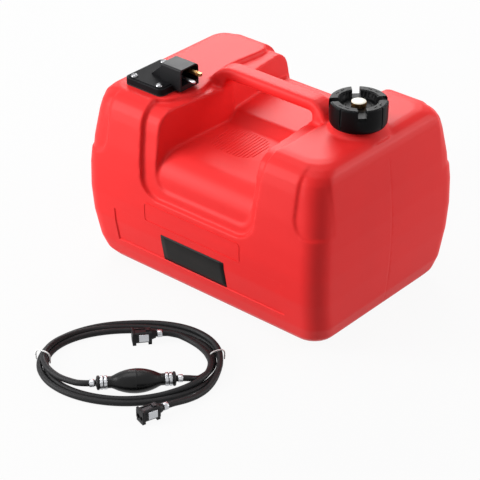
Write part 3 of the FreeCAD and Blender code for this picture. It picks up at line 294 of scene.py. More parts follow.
def rounded_block(low, high, edge, segments=4):
    """Bmesh of a block between two corners, with round edges."""
    bm = block(low, high)
    return soften(bm, bm.edges[:], edge, segments)


def along_axis(bm, axis):
    """Edges that run along one axis: 0 for X, 1 for Y, 2 for Z."""
    found = []
    for edge in bm.edges:
        run = edge.verts[1].co - edge.verts[0].co
        if abs(run[axis]) > 0.99 * run.length:
            found.append(edge)
    return found


def spun(profile, steps=64):
    """Bmesh of a profile turned round Z: radius and height of each corner.

    It closes on itself, or on the axis where it starts and ends there."""
    bm = bmesh.new()
    corners = [bm.verts.new((radius, 0, height)) for radius, height in profile]
    pairs = list(zip(corners, corners[1:]))
    if profile[0][0] > 0:
        pairs.append((corners[-1], corners[0]))
    lines = [bm.edges.new(pair) for pair in pairs]
    bmesh.ops.spin(bm, geom=corners + lines, cent=(0, 0, 0), axis=(0, 0, 1), angle=2 * math.pi,
                   steps=steps, use_merge=True)
    bmesh.ops.remove_doubles(bm, verts=bm.verts, dist=1e-7)
    bmesh.ops.recalc_face_normals(bm, faces=bm.faces)
    return bm


def moved(bm, matrix):
    """The same bmesh, put in another place."""
    bmesh.ops.transform(bm, matrix=matrix, verts=bm.verts)
    return bm


def joined(name, *parts):
    """One mesh of several bmeshes."""
    whole = bmesh.new()
    for part in parts:
        piece = from_bmesh("part", part)
        whole.from_mesh(piece)
        bpy.data.meshes.remove(piece)
    return from_bmesh(name, whole)


def tool(name, bm):
    """Hidden object that a boolean adds or cuts with."""
    piece = bpy.data.objects.new(name, from_bmesh(name, bm))
    scene.collection.objects.link(piece)
    piece.hide_render = True
    return piece


def combined(mesh, *steps):
    """Mesh after boolean steps, each given as UNION or DIFFERENCE and the bmesh it works with."""
    tools = []
    modifiers = []
    for i, (operation, bm) in enumerate(steps):
        tools.append(tool(f"tool_{i}", bm))
        modifiers.append(("BOOLEAN", {"operation": operation, "object": tools[-1], "solver": "EXACT"}))
    result = finished(mesh, *modifiers)
    for piece in tools:
        bpy.data.objects.remove(piece)
    return result


# the outside skin alone, without its bores, blown up anew with soft edges
outer = bmesh.new()
outer.from_mesh(nodes["tank_shell"].data)
bmesh.ops.remove_doubles(outer, verts=outer.verts, dist=1e-6)
bores = [(NECK_X, 0.0, NECK_BORE_R + 0.0005), (FITTING_X, FITTING_Y, STEM_HOLE_R)]
bores += [(x, y, SCREW_HOLE_R) for x, y in SCREW_PLACES]
walls = []
for face in outer.faces:
    middle = face.calc_center_median()
    if middle.z > TOP_Z and any(math.hypot(middle.x - x, middle.y - y) < r for x, y, r in bores):
        walls.append(face)
bmesh.ops.delete(outer, geom=walls, context="FACES")
lowest = min(outer.verts, key=lambda vert: vert.co.z)
skin = {lowest.link_faces[0]}
fringe = list(skin)
while fringe:
    face = fringe.pop()
    for edge in face.edges:
        for other in edge.link_faces:
            if other not in skin:
                skin.add(other)
                fringe.append(other)
bmesh.ops.delete(outer, geom=[face for face in outer.faces if face not in skin], context="FACES")
bmesh.ops.holes_fill(outer, edges=[edge for edge in outer.edges if edge.is_boundary], sides=0)
blown = finished(from_bmesh("blown", outer), ("REMESH", {"mode": "VOXEL", "voxel_size": VOXEL}))

soft = bmesh.new()
soft.from_mesh(blown)
for _ in range(SOFTENING):
    bmesh.ops.smooth_vert(soft, verts=soft.verts, factor=0.5, use_axis_x=True, use_axis_y=True,
                          use_axis_z=True)
thinned = finished(from_bmesh("softened", soft),
                   ("DECIMATE", {"decimate_type": "COLLAPSE", "ratio": KEPT_SHARE}))
soft = bmesh.new()
soft.from_mesh(thinned)


def reaches(face, axis, start, end):
    """Whether a face has some of itself between two places on an axis."""
    places = [vert.co[axis] for vert in face.verts]
    return min(places) < end and max(places) > start


def cut_across(bm, faces, places, axis):
    """Divide faces of a bmesh by planes across an axis, and give the faces that they became."""
    geometry = list(faces)
    geometry += dict.fromkeys(edge for face in faces for edge in face.edges)
    geometry += dict.fromkeys(vert for face in faces for vert in face.verts)
    across = Vector([float(i == axis) for i in range(3)])
    for place in places:
        geometry = bmesh.ops.bisect_plane(bm, geom=geometry, dist=1e-6, plane_co=across * place,
                                          plane_no=across)["geom"]
    return [part for part in geometry if isinstance(part, bmesh.types.BMFace)]


# the recess, pushed into the front wall, with sides that lean in
left, right, low, high = RECESS
wall = [face for face in soft.faces if face.calc_center_median().y < FRONT_Y
        and reaches(face, 0, left, right) and reaches(face, 2, low, high)]
wall = cut_across(soft, cut_across(soft, wall, (left, right), 0), (low, high), 2)
bottom = []
for face in wall:
    middle = face.calc_center_median()
    if left < middle.x < right and low < middle.z < high:
        bottom.append(face)
pushed = bmesh.ops.extrude_face_region(soft, geom=bottom)["geom"]
pushed = [part for part in pushed if isinstance(part, bmesh.types.BMVert)]
centre = Vector(((left + right) / 2, 0, (low + high) / 2))
shrink = (1 - 2 * RECESS_SLOPE / (right - left), 1, 1 - 2 * RECESS_SLOPE / (high - low))
bmesh.ops.translate(soft, vec=(0, RECESS_DEPTH, 0), verts=pushed)
bmesh.ops.scale(soft, vec=shrink, space=Matrix.Translation(-centre), verts=pushed)
bmesh.ops.delete(soft, geom=[face for face in bottom if face.is_valid], context="FACES")

# the parting line, a shallow groove up both ends
ends = [face for face in soft.faces if abs(face.calc_center_median().x) > END_X
        and reaches(face, 1, PARTING_Y - PARTING_HALF, PARTING_Y + PARTING_HALF)
        and reaches(face, 2, PARTING_LOW, PARTING_HIGH)]
cut_across(soft, ends, [PARTING_Y + PARTING_HALF * i for i in (-1, 0, 1)], 1)
for vert in soft.verts:
    x, y, z = vert.co
    if abs(x) > END_X and abs(y - PARTING_Y) < 1e-5 and PARTING_LOW < z < PARTING_HIGH:
        vert.co.x -= math.copysign(PARTING_DEPTH, x)

# the room inside, open through the neck
neck_bore = spun([(0, NECK_LOW), (NECK_BORE_R, NECK_LOW), (NECK_BORE_R, NECK_HIGH), (0, NECK_HIGH)])
hollow = combined(from_bmesh("room", rounded_block(*MAIN_ROOM)), ("UNION", rounded_block(*END_ROOM)),
                  ("UNION", moved(neck_bore, neck_place)))
cavity = bmesh.new()
cavity.from_mesh(hollow)
body_mesh = combined(from_bmesh("tank_body", soft), ("DIFFERENCE", cavity))
for face in body_mesh.polygons:
    face.use_smooth = True
body_mesh.set_sharp_from_angle(angle=math.radians(35))

tank_red = grained("tank_red", TANK_RED, roughness=0.44, grain=1400, depth=0.00006, mottle=9,
                   specular=0.16, shift=0.03, gloss_shift=0.05)
tank = place_mesh("tank_body", body_mesh, tank_red)
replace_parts(tank, "tank_shell")

# ---------------------------------------------------------------- mould marks
# Raised marks that the mould leaves in the same plastic: a field of fine ribs in the trough, an empty
# frame above the recess, and the thread round the filler neck.
RIBS = 15
RIB_FIELD = (-0.010, -0.0405, 0.031, 0.0255)      # middle and half sizes of the ribbed oval
RIB_SPREAD = 0.93           # of the oval's length that the ribs fill
RIB_WIDE = 0.0016
RIB_HIGH = 0.0006
RIB_SUNK = 0.001
RIB_EDGE = 0.0005
FLOOR_Z = 0.180             # of the trough's floor at its step, and how it falls towards the front
FLOOR_STEP_Y = -0.011
FLOOR_FALL = 0.0639
FRAME_BOX = (-0.0800, 0.0670, 0.0885, 0.1135)
FRAME_CORNER = 0.004
FRAME_LINE = 0.0013
FRAME_PROUD = 0.00055
FRAME_SUNK = 0.0004
SHEET_Y = -0.140            # where a sheet starts, in front of the tank
THREAD_R = 0.0249
THREAD_HIGH = 0.00042
THREAD_SUNK = 0.0003
THREAD_HALF = 0.0010        # half widths of the thread at its foot and its crest
CREST_HALF = 0.0002
THREAD_PITCH = 0.0042
THREAD_FROM = 0.2392
THREAD_TURNS = 2
THREAD_STEPS = 120

centre_x, centre_y, half_x, half_y = RIB_FIELD
middle_z = FLOOR_Z - (FLOOR_STEP_Y - centre_y) * FLOOR_FALL
on_floor = Matrix.Translation((0, centre_y, middle_z)) @ Matrix.Rotation(math.atan(FLOOR_FALL), 4, "X")
ribs = []
for i in range(RIBS):
    off = (i / (RIBS - 1) * 2 - 1) * half_x
    reach = half_y * (1 - (abs(off) / half_x * RIB_SPREAD) ** 3) ** (1 / 3)
    bar = rounded_block((centre_x + off - RIB_WIDE / 2, -reach, -RIB_SUNK),
                        (centre_x + off + RIB_WIDE / 2, reach, RIB_HIGH), RIB_EDGE, 2)
    ribs.append(moved(bar, on_floor))


def laid_on_tank(bm, proud, sunk):
    """A flat shape pressed back on the tank's front wall, and given its thickness."""
    settings = {"target": tank, "wrap_method": "PROJECT", "use_project_y": True,
                "use_negative_direction": True, "use_positive_direction": True}
    share = (proud - sunk) / (proud + sunk)
    return finished(from_bmesh("laid", bm), ("SHRINKWRAP", settings),
                    ("SOLIDIFY", {"thickness": proud + sunk, "offset": share}))


def sheet_front(box, corner, columns, rows):
    """Flat sheet in front of the tank, divided for the wall's curve, with its corners cut round."""
    left, right, low, high = box
    bm = bmesh.new()
    bmesh.ops.create_grid(bm, x_segments=columns, y_segments=rows, size=0.5)
    bmesh.ops.scale(bm, vec=(right - left, high - low, 1), verts=bm.verts)
    tips = [vert for vert in bm.verts if len(vert.link_edges) == 2]
    bmesh.ops.bevel(bm, geom=tips, offset=corner, affect="VERTICES", segments=5, profile=0.5,
                    material=-1)
    return moved(bm, Matrix.Translation(((left + right) / 2, SHEET_Y, (low + high) / 2))
                 @ Matrix.Rotation(math.radians(90), 4, "X"))


text_frame = sheet_front(FRAME_BOX, FRAME_CORNER, 24, 4)
rim = bmesh.ops.inset_region(text_frame, faces=text_frame.faces[:], thickness=FRAME_LINE,
                             use_boundary=True, use_even_offset=True)["faces"]
middle = [face for face in text_frame.faces if face not in rim]
bmesh.ops.delete(text_frame, geom=middle, context="FACES")
text_frame = laid_on_tank(text_frame, FRAME_PROUD, FRAME_SUNK)

thread = bmesh.new()
ridge = [thread.verts.new((THREAD_R + r, 0, THREAD_FROM + z))
         for r, z in ((-THREAD_SUNK, -THREAD_HALF), (THREAD_HIGH, -CREST_HALF),
                      (THREAD_HIGH, CREST_HALF), (-THREAD_SUNK, THREAD_HALF))]
start = thread.faces.new(ridge)
bmesh.ops.spin(thread, geom=[start] + start.edges[:] + ridge, cent=(0, 0, 0), axis=(0, 0, 1),
               angle=math.radians(360 * THREAD_TURNS), steps=THREAD_STEPS,
               dvec=(0, 0, THREAD_TURNS * THREAD_PITCH / THREAD_STEPS))
bmesh.ops.recalc_face_normals(thread, faces=thread.faces)
moved(thread, neck_place)

marks = bmesh.new()
for mesh in (joined("marks", *ribs, thread), text_frame):
    marks.from_mesh(mesh)
marks_mesh = from_bmesh("mould_marks", marks)
marks_mesh.set_sharp_from_angle(angle=math.radians(50))
place_mesh("mould_marks", marks_mesh, tank_red)

# ---------------------------------------------------------------- data plate
# A bare plate of thin black vinyl with its corners cut round.  Its back is self-adhesive, and it is
# stuck flat on the floor of the recess.
PLATE_BOX = (-0.0566, 0.0408, 0.0412, 0.0772)
PLATE_CORNER = 0.0012
PLATE_PROUD = 0.0003
PLATE_SUNK = 0.0002
PLATE_BLACK = (0.009, 0.008, 0.0075)

plate_vinyl = grained("plate_vinyl", PLATE_BLACK, roughness=0.42, grain=2200, depth=0.00004, mottle=45,
                      specular=0.1, shift=0.25)
plate_mesh = laid_on_tank(sheet_front(PLATE_BOX, PLATE_CORNER, 14, 8), PLATE_PROUD, PLATE_SUNK)
place_mesh("data_plate", plate_mesh, plate_vinyl)

# ---------------------------------------------------------------- filler cap
# Black moulded cap with four lugs round a dish, screwed on the neck; it seals on a rubber gasket and
# carries a liner.  A knurled brass vent screw sits in the middle of the dish, and a pale disc on its
# top is a painted reflection of a lamp on the brass.
CAP_FOOT = 0.2366
CAP_TOP = 0.2660
CAP_PLATE = 0.2540          # underside of the cap's top
DISH_FLOOR = 0.2570
CAP_R = 0.0332
CAP_BORE = 0.0254
DISH_R = 0.0215
SLOT = 0.0096               # width of the gaps between the lugs
SLOT_INSIDE = 0.004         # how far a gap's cutter starts inside the dish
SLOT_EDGE = 0.0006
NOTCH_DEEP = 0.0020         # how far the gaps go into the cap's side, and down it
NOTCH_DOWN = 0.0028
NOTCH_EDGE = 0.0012
GROOVE_DEEP = 0.0013        # of the grooves down the cap's side
GROOVE_HALF = 0.0008
SLIT_R = (0.0262, 0.0274)   # a pair of slits in the top of each lug
SLIT_OFF = 0.0046
SLIT_HALF = 0.0028
SLIT_DEEP = 0.0012
PAST_SIDE = 0.040           # cutters reach past the cap's side, top and foot
PAST_TOP = 0.28
PAST_FOOT = 0.230
VENT_BORE = 0.0029
KNOB_TOP = 0.2628
KNOB_R = 0.0085
CAP_BLACK = (0.0035, 0.0035, 0.0040)


def eased(name, node, edge, material, body="root"):
    """A copy of a solid with its sharp edges rounded, which stands for the solid."""
    bm = bmesh.new()
    bm.from_mesh(nodes[node].data)
    bmesh.ops.remove_doubles(bm, verts=bm.verts, dist=1e-6)
    bmesh.ops.dissolve_limit(bm, angle_limit=math.radians(1), verts=bm.verts, edges=bm.edges)
    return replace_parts(bevelled(name, from_bmesh(name, bm), edge, material, body), node)


def bevelled(name, mesh, edge, material, body="root"):
    """A piece with its sharp edges rounded."""
    mesh = finished(mesh, ("BEVEL", {"width": edge, "segments": 2, "limit_method": "ANGLE",
                                     "angle_limit": math.radians(35), "use_clamp_overlap": True}),
                    ("WEIGHTED_NORMAL", {"keep_sharp": True}))
    return place_mesh(name, mesh, material, body)


def dress(node, material):
    """Give a carried-over solid its material."""
    mesh = nodes[node].data
    mesh.materials.clear()
    mesh.materials.append(material)


cap_plastic = grained("cap_plastic", CAP_BLACK, roughness=0.38, grain=1800, depth=0.00006, mottle=50,
                      specular=0.07)
black_rubber = grained("black_rubber", (0.014, 0.014, 0.014), roughness=0.6, grain=1200, depth=0.0001,
                       mottle=60, specular=0.3)
# pale plastic of the liner, pick-up tube and strainer; it also colours the disc on the vent knob, a
# painted reflection
pale_plastic = grained("pale_plastic", (0.82, 0.80, 0.71), roughness=0.4, grain=900, depth=0.00006,
                       mottle=80, specular=0.4, shift=0.03)

profile = [(CAP_BORE, CAP_FOOT), (0.0296, CAP_FOOT), (0.0312, 0.2374), (0.0326, 0.2398),
           (0.0330, 0.2430), (CAP_R, 0.2480), (CAP_R, 0.2636), (0.0324, 0.2652), (0.0314, 0.2654),
           (0.0312, CAP_TOP), (0.0238, CAP_TOP), (0.0222, 0.2648), (DISH_R, DISH_FLOOR + 0.0008),
           (0.0206, DISH_FLOOR), (0.0168, DISH_FLOOR), (0.0162, DISH_FLOOR + 0.0007),
           (0.0150, DISH_FLOOR + 0.0007), (0.0144, DISH_FLOOR), (VENT_BORE, DISH_FLOOR),
           (VENT_BORE, CAP_PLATE), (CAP_BORE, CAP_PLATE)]
cuts = []
for i in range(4):
    turn = neck_place @ Matrix.Rotation(math.radians(45 + 90 * i), 4, "Z")
    slot = rounded_block((DISH_R - SLOT_INSIDE, -SLOT / 2, DISH_FLOOR + 0.00005),
                         (PAST_SIDE, SLOT / 2, PAST_TOP), SLOT_EDGE, 2)
    notch = block((CAP_R - NOTCH_DEEP, -SLOT / 2, DISH_FLOOR - NOTCH_DOWN),
                  (PAST_SIDE, SLOT / 2, PAST_TOP))
    foot = [edge for edge in along_axis(notch, 1) if all(vert.co.z < CAP_TOP for vert in edge.verts)]
    soften(notch, foot, NOTCH_EDGE, 3)
    cuts += [("DIFFERENCE", moved(slot, turn)), ("DIFFERENCE", moved(notch, turn))]
    turn = neck_place @ Matrix.Rotation(math.radians(90 * i), 4, "Z")
    groove = block((CAP_R - GROOVE_DEEP, -GROOVE_HALF, PAST_FOOT), (PAST_SIDE, GROOVE_HALF, PAST_TOP))
    for side in (-1, 1):
        slit = block((SLIT_R[0], side * SLIT_OFF - SLIT_HALF, CAP_TOP - SLIT_DEEP),
                     (SLIT_R[1], side * SLIT_OFF + SLIT_HALF, PAST_TOP))
        cuts.append(("DIFFERENCE", moved(slit, turn)))
    cuts.append(("DIFFERENCE", moved(groove, turn)))
cap_mesh = combined(from_bmesh("cap", moved(spun(profile, 128), neck_place)), *cuts)
screw_cap = bevelled("screw_cap", cap_mesh, 0.0005, cap_plastic, "filler_cap")
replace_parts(screw_cap, "filler_cap")
dress("cap_gasket", black_rubber)
dress("cap_liner", pale_plastic)
dress("vent_ring", black_rubber)

TOOL_MARKS = 900.0          # scale and depth of the marks that a tool leaves in metal
TOOL_MARK_DEPTH = 0.00002


def metal(name, colour, roughness):
    """Plated or machined metal: fine tool marks and small changes of gloss."""
    material = bpy.data.materials.new(name)
    material.use_nodes = True
    tree = material.node_tree
    shader = tree.nodes["Principled BSDF"]
    shader.inputs["Metallic"].default_value = 1
    place = tree.nodes.new("ShaderNodeTexCoord")
    marks = tree.nodes.new("ShaderNodeTexNoise")
    marks.inputs["Scale"].default_value = TOOL_MARKS
    marks.inputs["Detail"].default_value = 4
    tone = tree.nodes.new("ShaderNodeValToRGB")
    tone.color_ramp.elements[0].color = [c * 0.8 for c in colour] + [1]
    tone.color_ramp.elements[1].color = [min(c * 1.1, 1) for c in colour] + [1]
    gloss = tree.nodes.new("ShaderNodeMapRange")
    gloss.inputs["To Min"].default_value = roughness * 0.8
    gloss.inputs["To Max"].default_value = roughness * 1.3
    bump = tree.nodes.new("ShaderNodeBump")
    bump.inputs["Strength"].default_value = 0.4
    bump.inputs["Distance"].default_value = TOOL_MARK_DEPTH
    links = tree.links
    links.new(place.outputs["Object"], marks.inputs["Vector"])
    links.new(marks.outputs["Fac"], tone.inputs["Fac"])
    links.new(tone.outputs["Color"], shader.inputs["Base Color"])
    links.new(marks.outputs["Fac"], gloss.inputs["Value"])
    links.new(gloss.outputs["Result"], shader.inputs["Roughness"])
    links.new(marks.outputs["Fac"], bump.inputs["Height"])
    links.new(bump.outputs["Normal"], shader.inputs["Normal"])
    return material


brass = metal("brass", (0.46, 0.27, 0.11), 0.30)
steel = metal("steel", (0.50, 0.51, 0.53), 0.28)
eased("vent_knob", "vent_screw", 0.0003, brass, "vent_screw")
# a pale disc over the knob's top: a painted reflection of a lamp on the polished brass
reflection_disc = spun([(0, KNOB_TOP - 0.0003), (KNOB_R - 0.0004, KNOB_TOP - 0.0003),
               (KNOB_R - 0.0002, KNOB_TOP + 0.0002), (KNOB_R - 0.0006, KNOB_TOP + 0.0006),
               (0.0040, KNOB_TOP + 0.0008), (0, KNOB_TOP + 0.0008)])
place_mesh("vent_top_painted_reflection", from_bmesh("vent_top_painted_reflection", moved(reflection_disc, neck_place)), pale_plastic, "vent_screw")

# ---------------------------------------------------------------- outlet fitting
# Black moulded plate with a hood over a brass nipple and a steel guide pin, held by four pan-head
# screws.  A barbed stem below it carries the pick-up tube with its strainer.
SEAT = 0.2315               # foot and top of the plate
PLATE_TOP = 0.2385
PLATE_HALF = (0.029, 0.033)
PLATE_ROUND = 0.007
STEP_TOP = PLATE_TOP + 0.001            # a raised field on the plate
STEP_HALF = (0.0262, 0.0302)
STEP_ROUND = 0.0045
HOOD = ((-0.1070, -0.0690, 0.2330), (-0.0760, -0.0380, 0.2605))
HOOD_WALL = 0.0019
HOOD_ROUND = 0.0062         # of its upper edge at the back, and of the one in front
HOOD_EDGE = 0.0022
MOUTH_BACK = -0.0984
MOUTH_FRONT = -0.07         # past the hood's open end
MOUTH_ROUND = 0.0050
TAIL = ((-0.1260, -0.0645, 0.2330), (-0.1060, -0.0425, 0.2580))
TAIL_END_Z = 0.2405         # the height to which the tail slopes down
UPPER = 0.25                # the upper edges of hood, tail and mouth lie above this
STEM_FOOT = 0.2160          # where the stem's flange starts
STEM_R = 0.0028
BARB_R = 0.0034
FLANGE_R = 0.0105
FITTING_BLACK = (0.0095, 0.0095, 0.0105)

fitting_plastic = grained("fitting_plastic", FITTING_BLACK, roughness=0.55, grain=1500, depth=0.00008,
                          mottle=50, specular=0.03)
hood_gloss = grained("hood_gloss", FITTING_BLACK, roughness=0.42, grain=1500, depth=0.00006,
                     mottle=50, specular=0.13)
screw_steel = metal("screw_steel", (0.30, 0.30, 0.31), 0.24)


def plate_layer(half_x, half_y, low, high, corner):
    """Rectangular plate with its upright corners rounded."""
    bm = block((FITTING_X - half_x, FITTING_Y - half_y, low),
               (FITTING_X + half_x, FITTING_Y + half_y, high))
    return soften(bm, along_axis(bm, 2), corner, 8)


hood = block(*HOOD)
ridges = [edge for edge in along_axis(hood, 0) if edge.verts[0].co.z > UPPER]
soften(hood, [edge for edge in ridges if edge.verts[0].co.y > FITTING_Y], HOOD_ROUND, 8)
ridges = [edge for edge in along_axis(hood, 0)
          if edge.verts[0].co.z > HOOD[1][2] - 0.0005 and edge.verts[0].co.y < HOOD[0][1] + 0.0001]
soften(hood, ridges, HOOD_EDGE, 4)
tail = block(*TAIL)
for vert in tail.verts:
    if vert.co.x < FITTING_X and vert.co.z > UPPER:
        vert.co.z = TAIL_END_Z
mouth = block((MOUTH_BACK, HOOD[0][1] + HOOD_WALL, STEP_TOP),
              (MOUTH_FRONT, HOOD[1][1] - HOOD_WALL, HOOD[1][2] - HOOD_WALL))
ridges = [edge for edge in along_axis(mouth, 0) if edge.verts[0].co.z > UPPER]
soften(mouth, ridges, MOUTH_ROUND, 8)
stem = spun([(0, 0.200), (STEM_R, 0.200), (BARB_R, 0.203), (STEM_R, 0.2031), (STEM_R, 0.204),
             (BARB_R, 0.207), (STEM_R, 0.2071), (STEM_R, 0.208), (BARB_R, 0.211), (STEM_R, 0.2111),
             (STEM_R, STEM_FOOT), (FLANGE_R, STEM_FOOT), (FLANGE_R, PLATE_TOP - 0.001),
             (0, PLATE_TOP - 0.001)])
fitting = combined(from_bmesh("fitting", plate_layer(*PLATE_HALF, SEAT, PLATE_TOP, PLATE_ROUND)),
                   ("UNION", plate_layer(*STEP_HALF, PLATE_TOP - 0.002, STEP_TOP, STEP_ROUND)),
                   ("UNION", hood), ("UNION", tail),
                   ("UNION", moved(stem, Matrix.Translation((FITTING_X, FITTING_Y, 0)))),
                   ("DIFFERENCE", mouth))
outlet_body = bevelled("outlet_body", fitting, 0.0006, fitting_plastic)
outlet_body.data.materials.append(hood_gloss)
for face in outlet_body.data.polygons:
    face.material_index = int(face.center.z > PLATE_TOP + 0.0015)
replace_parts(outlet_body, "outlet_housing")

# pan-head screws with a cross recess
SCREW_FOOT = 0.2160
SHANK_R = 0.0020
CROSS = ((-0.0022, -0.0005, 0.0014), (0.0022, 0.0005, 0.0060))

screw_cuts = []
screw_parts = []
for x, y in SCREW_PLACES:
    place = Matrix.Translation((x, y, STEP_TOP))
    head = spun([(0, 0.0030), (0.0014, 0.0029), (0.0027, 0.0024), (0.0037, 0.0016), (0.0043, 0.0007),
                 (0.0044, 0), (SHANK_R, 0), (SHANK_R, SCREW_FOOT - STEP_TOP),
                 (0, SCREW_FOOT - STEP_TOP)], 48)
    screw_parts.append(moved(head, place))
    for turn in (20, 110):
        bar = moved(block(*CROSS), place @ Matrix.Rotation(math.radians(turn), 4, "Z"))
        screw_cuts.append(("DIFFERENCE", bar))
screw_mesh = combined(joined("screws", *screw_parts), *screw_cuts)
plate_screws = bevelled("plate_screws", screw_mesh, 0.00012, screw_steel)
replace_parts(plate_screws, "outlet_screws")
eased("nipple", "outlet_nipple", 0.0003, brass)
eased("guide_peg", "guide_pin", 0.0003, steel)
dress("outlet_gasket", black_rubber)
dress("screw_inserts", brass)
dress("dip_tube", pale_plastic)
dress("dip_tube_clip", steel)
dress("strainer", pale_plastic)

# ---------------------------------------------------------------- primer bulb
# Squeezable moulded rubber bulb with a ring seam round its middle and a ribbed sleeve at each end,
# where two crimped steel bands hold a valve body with its flange.
BULB_PLACE = (0.0096, -0.0510, 0.0140)
BULB_TURN = 5.4
BULB_HALF = 0.0265          # half length of the oval, without the sleeves
BULB_R = 0.01375
BULB_WALL = 0.0026
SEAM_HIGH = 0.00014
SLEEVE_R = 0.0066
SLEEVE_END = 0.0402
SLEEVE_BORE = 0.0048
BAND_PLACES = (0.0334, 0.0378)
BAND = (0.0034, 0.0064, 0.0077)         # width, inner and outer radius
VALVE_PROFILE = [(0.0010, 0.0310), (0.0046, 0.0310), (0.0048, 0.0316), (0.0048, 0.0401),
                 (0.0074, 0.0401), (0.0080, 0.0406), (0.0081, 0.0418), (0.0078, 0.0428),
                 (0.0066, 0.0434), (0.0048, 0.0437), (0.0040, 0.0441), (0.0019, 0.0442),
                 (0.0019, 0.0559), (0.0010, 0.0559)]

bulb_place = (kit @ Matrix.Translation(BULB_PLACE) @ Matrix.Rotation(math.radians(BULB_TURN), 4, "Z")
              @ Matrix.Rotation(math.radians(90), 4, "Y"))
bulb_rubber = grained("bulb_rubber", (0.0065, 0.0065, 0.0070), roughness=0.30, grain=700,
                      depth=0.00006, mottle=40, specular=0.22)
valve_plastic = grained("valve_plastic", (0.010, 0.010, 0.011), roughness=0.40, grain=1500,
                        depth=0.00006, mottle=50, specular=0.2)


def oval(distance, middle_r, end_r):
    """Radius of the bulb at a distance from its middle."""
    rise = middle_r - end_r
    side_r = (BULB_HALF ** 2 + rise ** 2) / (2 * rise)
    return middle_r - side_r + math.sqrt(side_r ** 2 - distance ** 2)


outside = [(BULB_R + SEAM_HIGH, 0.0), (BULB_R + SEAM_HIGH, 0.00025), (BULB_R, 0.0005)]
for i in range(1, 14):
    outside.append((oval(BULB_HALF * i / 14, BULB_R, SLEEVE_R), BULB_HALF * i / 14))
outside += [(SLEEVE_R + 0.0003, BULB_HALF), (SLEEVE_R, BULB_HALF + 0.0010)]
for i in range(3):
    start = BULB_HALF + 0.0018 + i * 0.0013
    outside += [(SLEEVE_R, start), (SLEEVE_R + 0.00025, start + 0.0003), (SLEEVE_R, start + 0.0006)]
outside.append((SLEEVE_R, SLEEVE_END))
inside = [(SLEEVE_BORE, SLEEVE_END), (SLEEVE_BORE, BULB_HALF)]
for i in range(5, -1, -1):
    inside.append((oval(BULB_HALF * i / 6, BULB_R - BULB_WALL, SLEEVE_BORE), BULB_HALF * i / 6))
profile = [(radius, -height) for radius, height in reversed(outside[1:])] + outside
profile += inside + [(radius, -height) for radius, height in reversed(inside[:-1])]
bulb_mesh = from_bmesh("bulb_skin", moved(spun(profile, 72), bulb_place))
bulb_skin = place_mesh("bulb_skin", bulb_mesh, bulb_rubber)
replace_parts(bulb_skin, "primer_bulb")
for node in ("bulb_inlet_check", "bulb_outlet_check"):
    dress(node, black_rubber)


def crimped_ring(place, middle, wide, inner, outer, ear_turn):
    """A steel band round a hose or sleeve, with the ear that was pinched to tighten it."""
    low, high = middle - wide / 2, middle + wide / 2
    ring = spun([(inner, low), (outer - 0.00015, low), (outer, low + 0.0002), (outer, high - 0.0002),
                 (outer - 0.00015, high), (inner, high)], 56)
    ear = rounded_block((outer - 0.0006, -0.0013, low + 0.0003),
                        (outer + 0.0009, 0.0013, high - 0.0003), 0.0004, 2)
    moved(ear, Matrix.Rotation(math.radians(ear_turn), 4, "Z"))
    return [moved(ring, place), moved(ear, place)]


bands = []
for side, ear_turn in ((-1, 235), (1, 200)):
    for reach in BAND_PLACES:
        bands += crimped_ring(bulb_place, side * reach, *BAND, ear_turn)
crimp_bands = place_mesh("crimp_bands", joined("crimp_bands", *bands), steel)
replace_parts(crimp_bands, "bulb_bands")
for name, side in (("inlet", 1), ("outlet", -1)):
    bm = moved(spun([(radius, side * height) for radius, height in VALVE_PROFILE]), bulb_place)
    valve = place_mesh(f"{name}_valve_body", from_bmesh("valve", bm), valve_plastic)
    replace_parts(valve, f"bulb_{name}_valve")

# ---------------------------------------------------------------- connectors
# Moulded quick connectors at the hoses' ends: a thicker rim round the mouth, two feet, a rocking
# latch in the back and a steel plate in the side.  Inside, a wound spring shuts a brass poppet, and
# crimped clips hold the hoses on.
PLUGS = {"tank": ((0.0005, 0.0435), 9.8), "engine": ((0.0155, -0.1085), 32.0)}
PLUG_AXIS = 0.0095
RIM = ((-0.0001, -0.0076, -0.0068), (0.0030, 0.0076, 0.0068))
MOUTH = ((-0.005, -0.0062, -0.0056), (0.005, 0.0062, 0.0056))
RIB = ((0, -0.0077, -0.0050), (0.0016, -0.0070, 0.0052))
RIB_PLACES = (0.0048, 0.0192)
SPRING_PLATE = ((0.0072, -0.0078, -0.0046), (0.0184, -0.0068, 0.0046))
BULB_CLIP_PLACE = 0.0484
PLUG_CLIP_PLACE = 0.0316
CLIP = (0.0054, 0.0034, 0.0044)         # width, inner and outer radius
SPRING_WIRE_R = 0.00028
SPRING_TURNS = 6
SPRING_STEPS = 20           # in a turn

